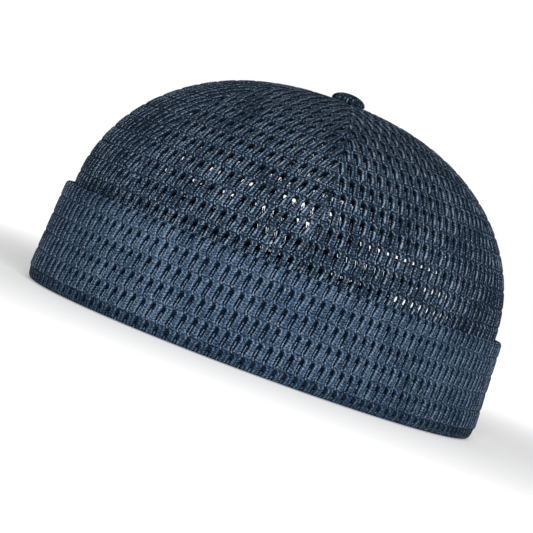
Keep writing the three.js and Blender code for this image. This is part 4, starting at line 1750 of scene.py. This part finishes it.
@dataclass
class Studio:
    """The pale floor, the soft lights and the camera."""

    LAMPS = (
        Lamp("key", turn=5, elevation=14, distance=0.9, size=0.35, power=8.4),
        Lamp("fill", turn=-45, elevation=12, distance=1.6, size=0.9, power=0.3),
        Lamp("back", turn=180, elevation=55, distance=1.6, size=0.9, power=3),
    )
    WHITE = (1, 1, 1, 1)

    cap: CapFrame
    azimuth: float = 44.0
    elevation: float = 1.5
    roll: float = 20.8
    distance: float = 1.018
    focal_pixels: float = 2551.0
    sensor_width: float = 36.0
    rim_at: tuple[float, float] = (251.0, 358.0)
    lamp_aim: tuple[float, float, float] = (0.0, 0.0, 0.05)
    world_light: float = 0.1
    floor_rings: int = 24
    floor_around: int = 64
    floor_start: float = 0.02
    floor_growth: float = 1.32
    glow_reach: tuple[float, float] = (0.12, 0.5)
    glow_least: float = 0.4
    glow_strength: float = 0.9
    floor_tones: tuple[float, float] = (0.86, 0.95)

    def floor_mesh(self) -> bpy.types.Mesh:
        """Returns a flat disc of rings that widen outwards."""
        mesh = bpy.data.meshes.new("floor")
        around = self.floor_around
        radii = self.floor_start * self.floor_growth ** np.arange(self.floor_rings)
        angles = np.linspace(0, 2 * math.pi, around, endpoint=False)
        points = [(0.0, 0.0, 0.0)]
        points += [(r * math.cos(a), r * math.sin(a), 0.0) for r in radii for a in angles]
        faces = [(0, 1 + i, 1 + (i + 1) % around) for i in range(around)]
        for ring in range(self.floor_rings - 1):
            near, far = 1 + ring * around, 1 + (ring + 1) * around
            for i in range(around):
                following = (i + 1) % around
                faces.append((near + i, far + i, far + following, near + following))
        mesh.from_pydata(points, [], faces)
        return mesh

    def floor(self) -> None:
        """Makes the floor, which glows softly white far from the cap so that no horizon shows."""
        material = bpy.data.materials.new("pale_floor")
        material.use_nodes = True
        tree = Tree(material.node_tree)
        shader = material.node_tree.nodes["Principled BSDF"]
        shader.inputs["Roughness"].default_value = 0.9
        place = tree.add("ShaderNodeTexCoord").outputs["Object"]
        far = tree.add("ShaderNodeVectorMath", {0: place}, operation="LENGTH").outputs["Value"]
        glow = tree.ramp(far, *self.glow_reach, self.glow_least, 1.0)
        near_tone, far_tone = ((tone, tone, tone, 1) for tone in self.floor_tones)
        tree.feed(shader.inputs["Base Color"], tree.mix(glow, near_tone, far_tone))
        shader.inputs["Emission Color"].default_value = self.WHITE
        tree.feed(shader.inputs["Emission Strength"], tree.math("MULTIPLY", glow, self.glow_strength))
        mesh = self.floor_mesh()
        mesh.materials.append(material)
        floor = linked("floor", mesh)

    def light(self, lamp: Lamp) -> None:
        """Adds a square area light that faces the middle of the cap."""
        data = bpy.data.lights.new(lamp.name, "AREA")
        data.size = lamp.size
        data.energy = lamp.power
        holder = linked(lamp.name, data)
        way = direction(self.azimuth + lamp.turn, lamp.elevation)
        holder.location = Vector(self.lamp_aim) + way * lamp.distance
        holder.rotation_euler = way.to_track_quat("Z", "Y").to_euler()

    def camera(self) -> None:
        """Sets up the camera at the photograph's angle round the cap, just above the floor."""
        turn, roll = math.radians(self.azimuth), math.radians(self.roll)
        back = direction(self.azimuth, self.elevation)
        level = Vector((math.cos(turn), math.sin(turn), 0))
        upright = back.cross(level)
        right = math.cos(roll) * level + math.sin(roll) * upright
        up = -math.sin(roll) * level + math.cos(roll) * upright
        per_pixel = self.distance / self.focal_pixels
        middle = PICTURE_SIDE / 2
        rim = Vector((0, self.cap.axis_y * MM, 0))
        aim = rim + right * (middle - self.rim_at[0]) * per_pixel + up * (self.rim_at[1] - middle) * per_pixel
        data = bpy.data.cameras.new("camera")
        data.sensor_width = self.sensor_width
        data.lens = self.focal_pixels * self.sensor_width / PICTURE_SIDE
        camera = linked("camera", data)
        axes = Matrix((right, up, back)).transposed()
        camera.matrix_world = Matrix.Translation(aim + back * self.distance) @ axes.to_4x4()
        bpy.context.scene.camera = camera

    def build(self) -> None:
        """Sets up the whole studio."""
        world = bpy.data.worlds.new("white_room")
        world.use_nodes = True
        tree = Tree(world.node_tree)
        background = world.node_tree.nodes["Background"]
        background.inputs["Color"].default_value = self.WHITE
        seen = tree.add("ShaderNodeLightPath").outputs["Is Camera Ray"]
        tree.feed(background.inputs["Strength"], tree.ramp(seen, 0.0, 1.0, self.world_light, 1.0))
        bpy.context.scene.world = world
        bpy.context.scene.view_settings.view_transform = "Standard"
        self.floor()
        for lamp in self.LAMPS:
            self.light(lamp)
        self.camera()


CUFF_YARN = KnitFinish(
    "navy_mesh_knit", dark=(0.001, 0.0058, 0.0155), middle=(0.032, 0.066, 0.116), light=(0.18, 0.242, 0.335),
    roughness=0.65, relief=0.0003, specular=0.1,
)
# The crown's copy of the navy knit is painted darker, as shade, with stronger painted highlight dashes and
# slot-edge shade.
CROWN_YARN = KnitFinish(
    "shaded_crown_navy_knit", dark=(0.0012, 0.0055, 0.0135), middle=(0.014, 0.0315, 0.0575),
    light=(0.2, 0.27, 0.362), roughness=0.7, relief=0.0003, specular=0.1, contrast=1.75, line_highlight_share=0.4,
    dash_highlight_share=0.95, slot_edge_shade=0.28,
)
SMOOTH_CLOTH = WovenFinish(
    "smooth_black_cloth", dark=(0.004, 0.0045, 0.006), light=(0.012, 0.013, 0.016), roughness=0.85,
    sheen=0.1, relief=0.00003, specular=3.2, threads_across=3.2, threads_along=2.0,
)
WEBBING = WovenFinish(
    "ribbed_black_webbing", dark=(0.003, 0.003, 0.0035), light=(0.028, 0.028, 0.031), roughness=0.7,
    sheen=0.1, relief=0.00014, specular=0.85, threads_across=1.6, threads_along=2.0,
)
PLASTIC = PlasticFinish(
    "satin_black_plastic", dark=(0.006, 0.006, 0.007), light=(0.02, 0.02, 0.022), roughness=0.34,
    relief=0.00001,
)
NAVY_THREAD = ThreadFinish(
    "navy_thread", dark=(0.006, 0.01, 0.018), light=(0.04, 0.065, 0.1), roughness=0.7, sheen=0.2,
    relief=0.00005,
)
BLACK_THREAD = ThreadFinish(
    "black_thread", dark=(0.003, 0.003, 0.004), light=(0.02, 0.02, 0.023), roughness=0.7, sheen=0.1,
    relief=0.00005,
)
CUFF_CELL = KnitCell(foot_half=0.54, eyelet_half=0.58, thread_top=5.0, slot_steps=2)


def main() -> None:
    """Builds the studio and then the cap piece by piece."""
    logging.basicConfig(level=logging.INFO, format="%(name)s %(message)s")
    cap = CapFrame()
    rim = (2 * cap.rim_half_width, 2 * cap.rim_half_length)
    log.info("rim %.1f x %.1f mm, crown top %.1f mm", *rim, cap.crown_top)
    Studio(cap).build()
    shop = Workshop(cap)
    patterns = Patterns()
    nodes = NodeMaker()
    crown_yarn = CROWN_YARN.material(patterns)
    crown = Crown(cap, KnitCloth(KnitCell(), nodes, crown_yarn))
    crown.build(shop)
    Cuff(cap, KnitCloth(CUFF_CELL, nodes, CUFF_YARN.material(patterns))).build(shop)
    band = Sweatband(cap)
    band.build(shop, SMOOTH_CLOTH.material(patterns))
    TopButton(cap).build(shop, crown_yarn)
    BackStrap(cap).build(shop, WEBBING.material(patterns), PLASTIC.material(patterns))
    navy, black = (thread.material(patterns) for thread in (NAVY_THREAD, BLACK_THREAD))
    Stitching(cap, nodes, navy).lay("seam_stitches", crown.seam_runs(), Slot.KNIT, 21)
    Stitching(cap, nodes, black).lay("band_stitches", band.stitch_runs(), Slot.SMOOTH, 22)


if __name__ == "__main__":
    main()
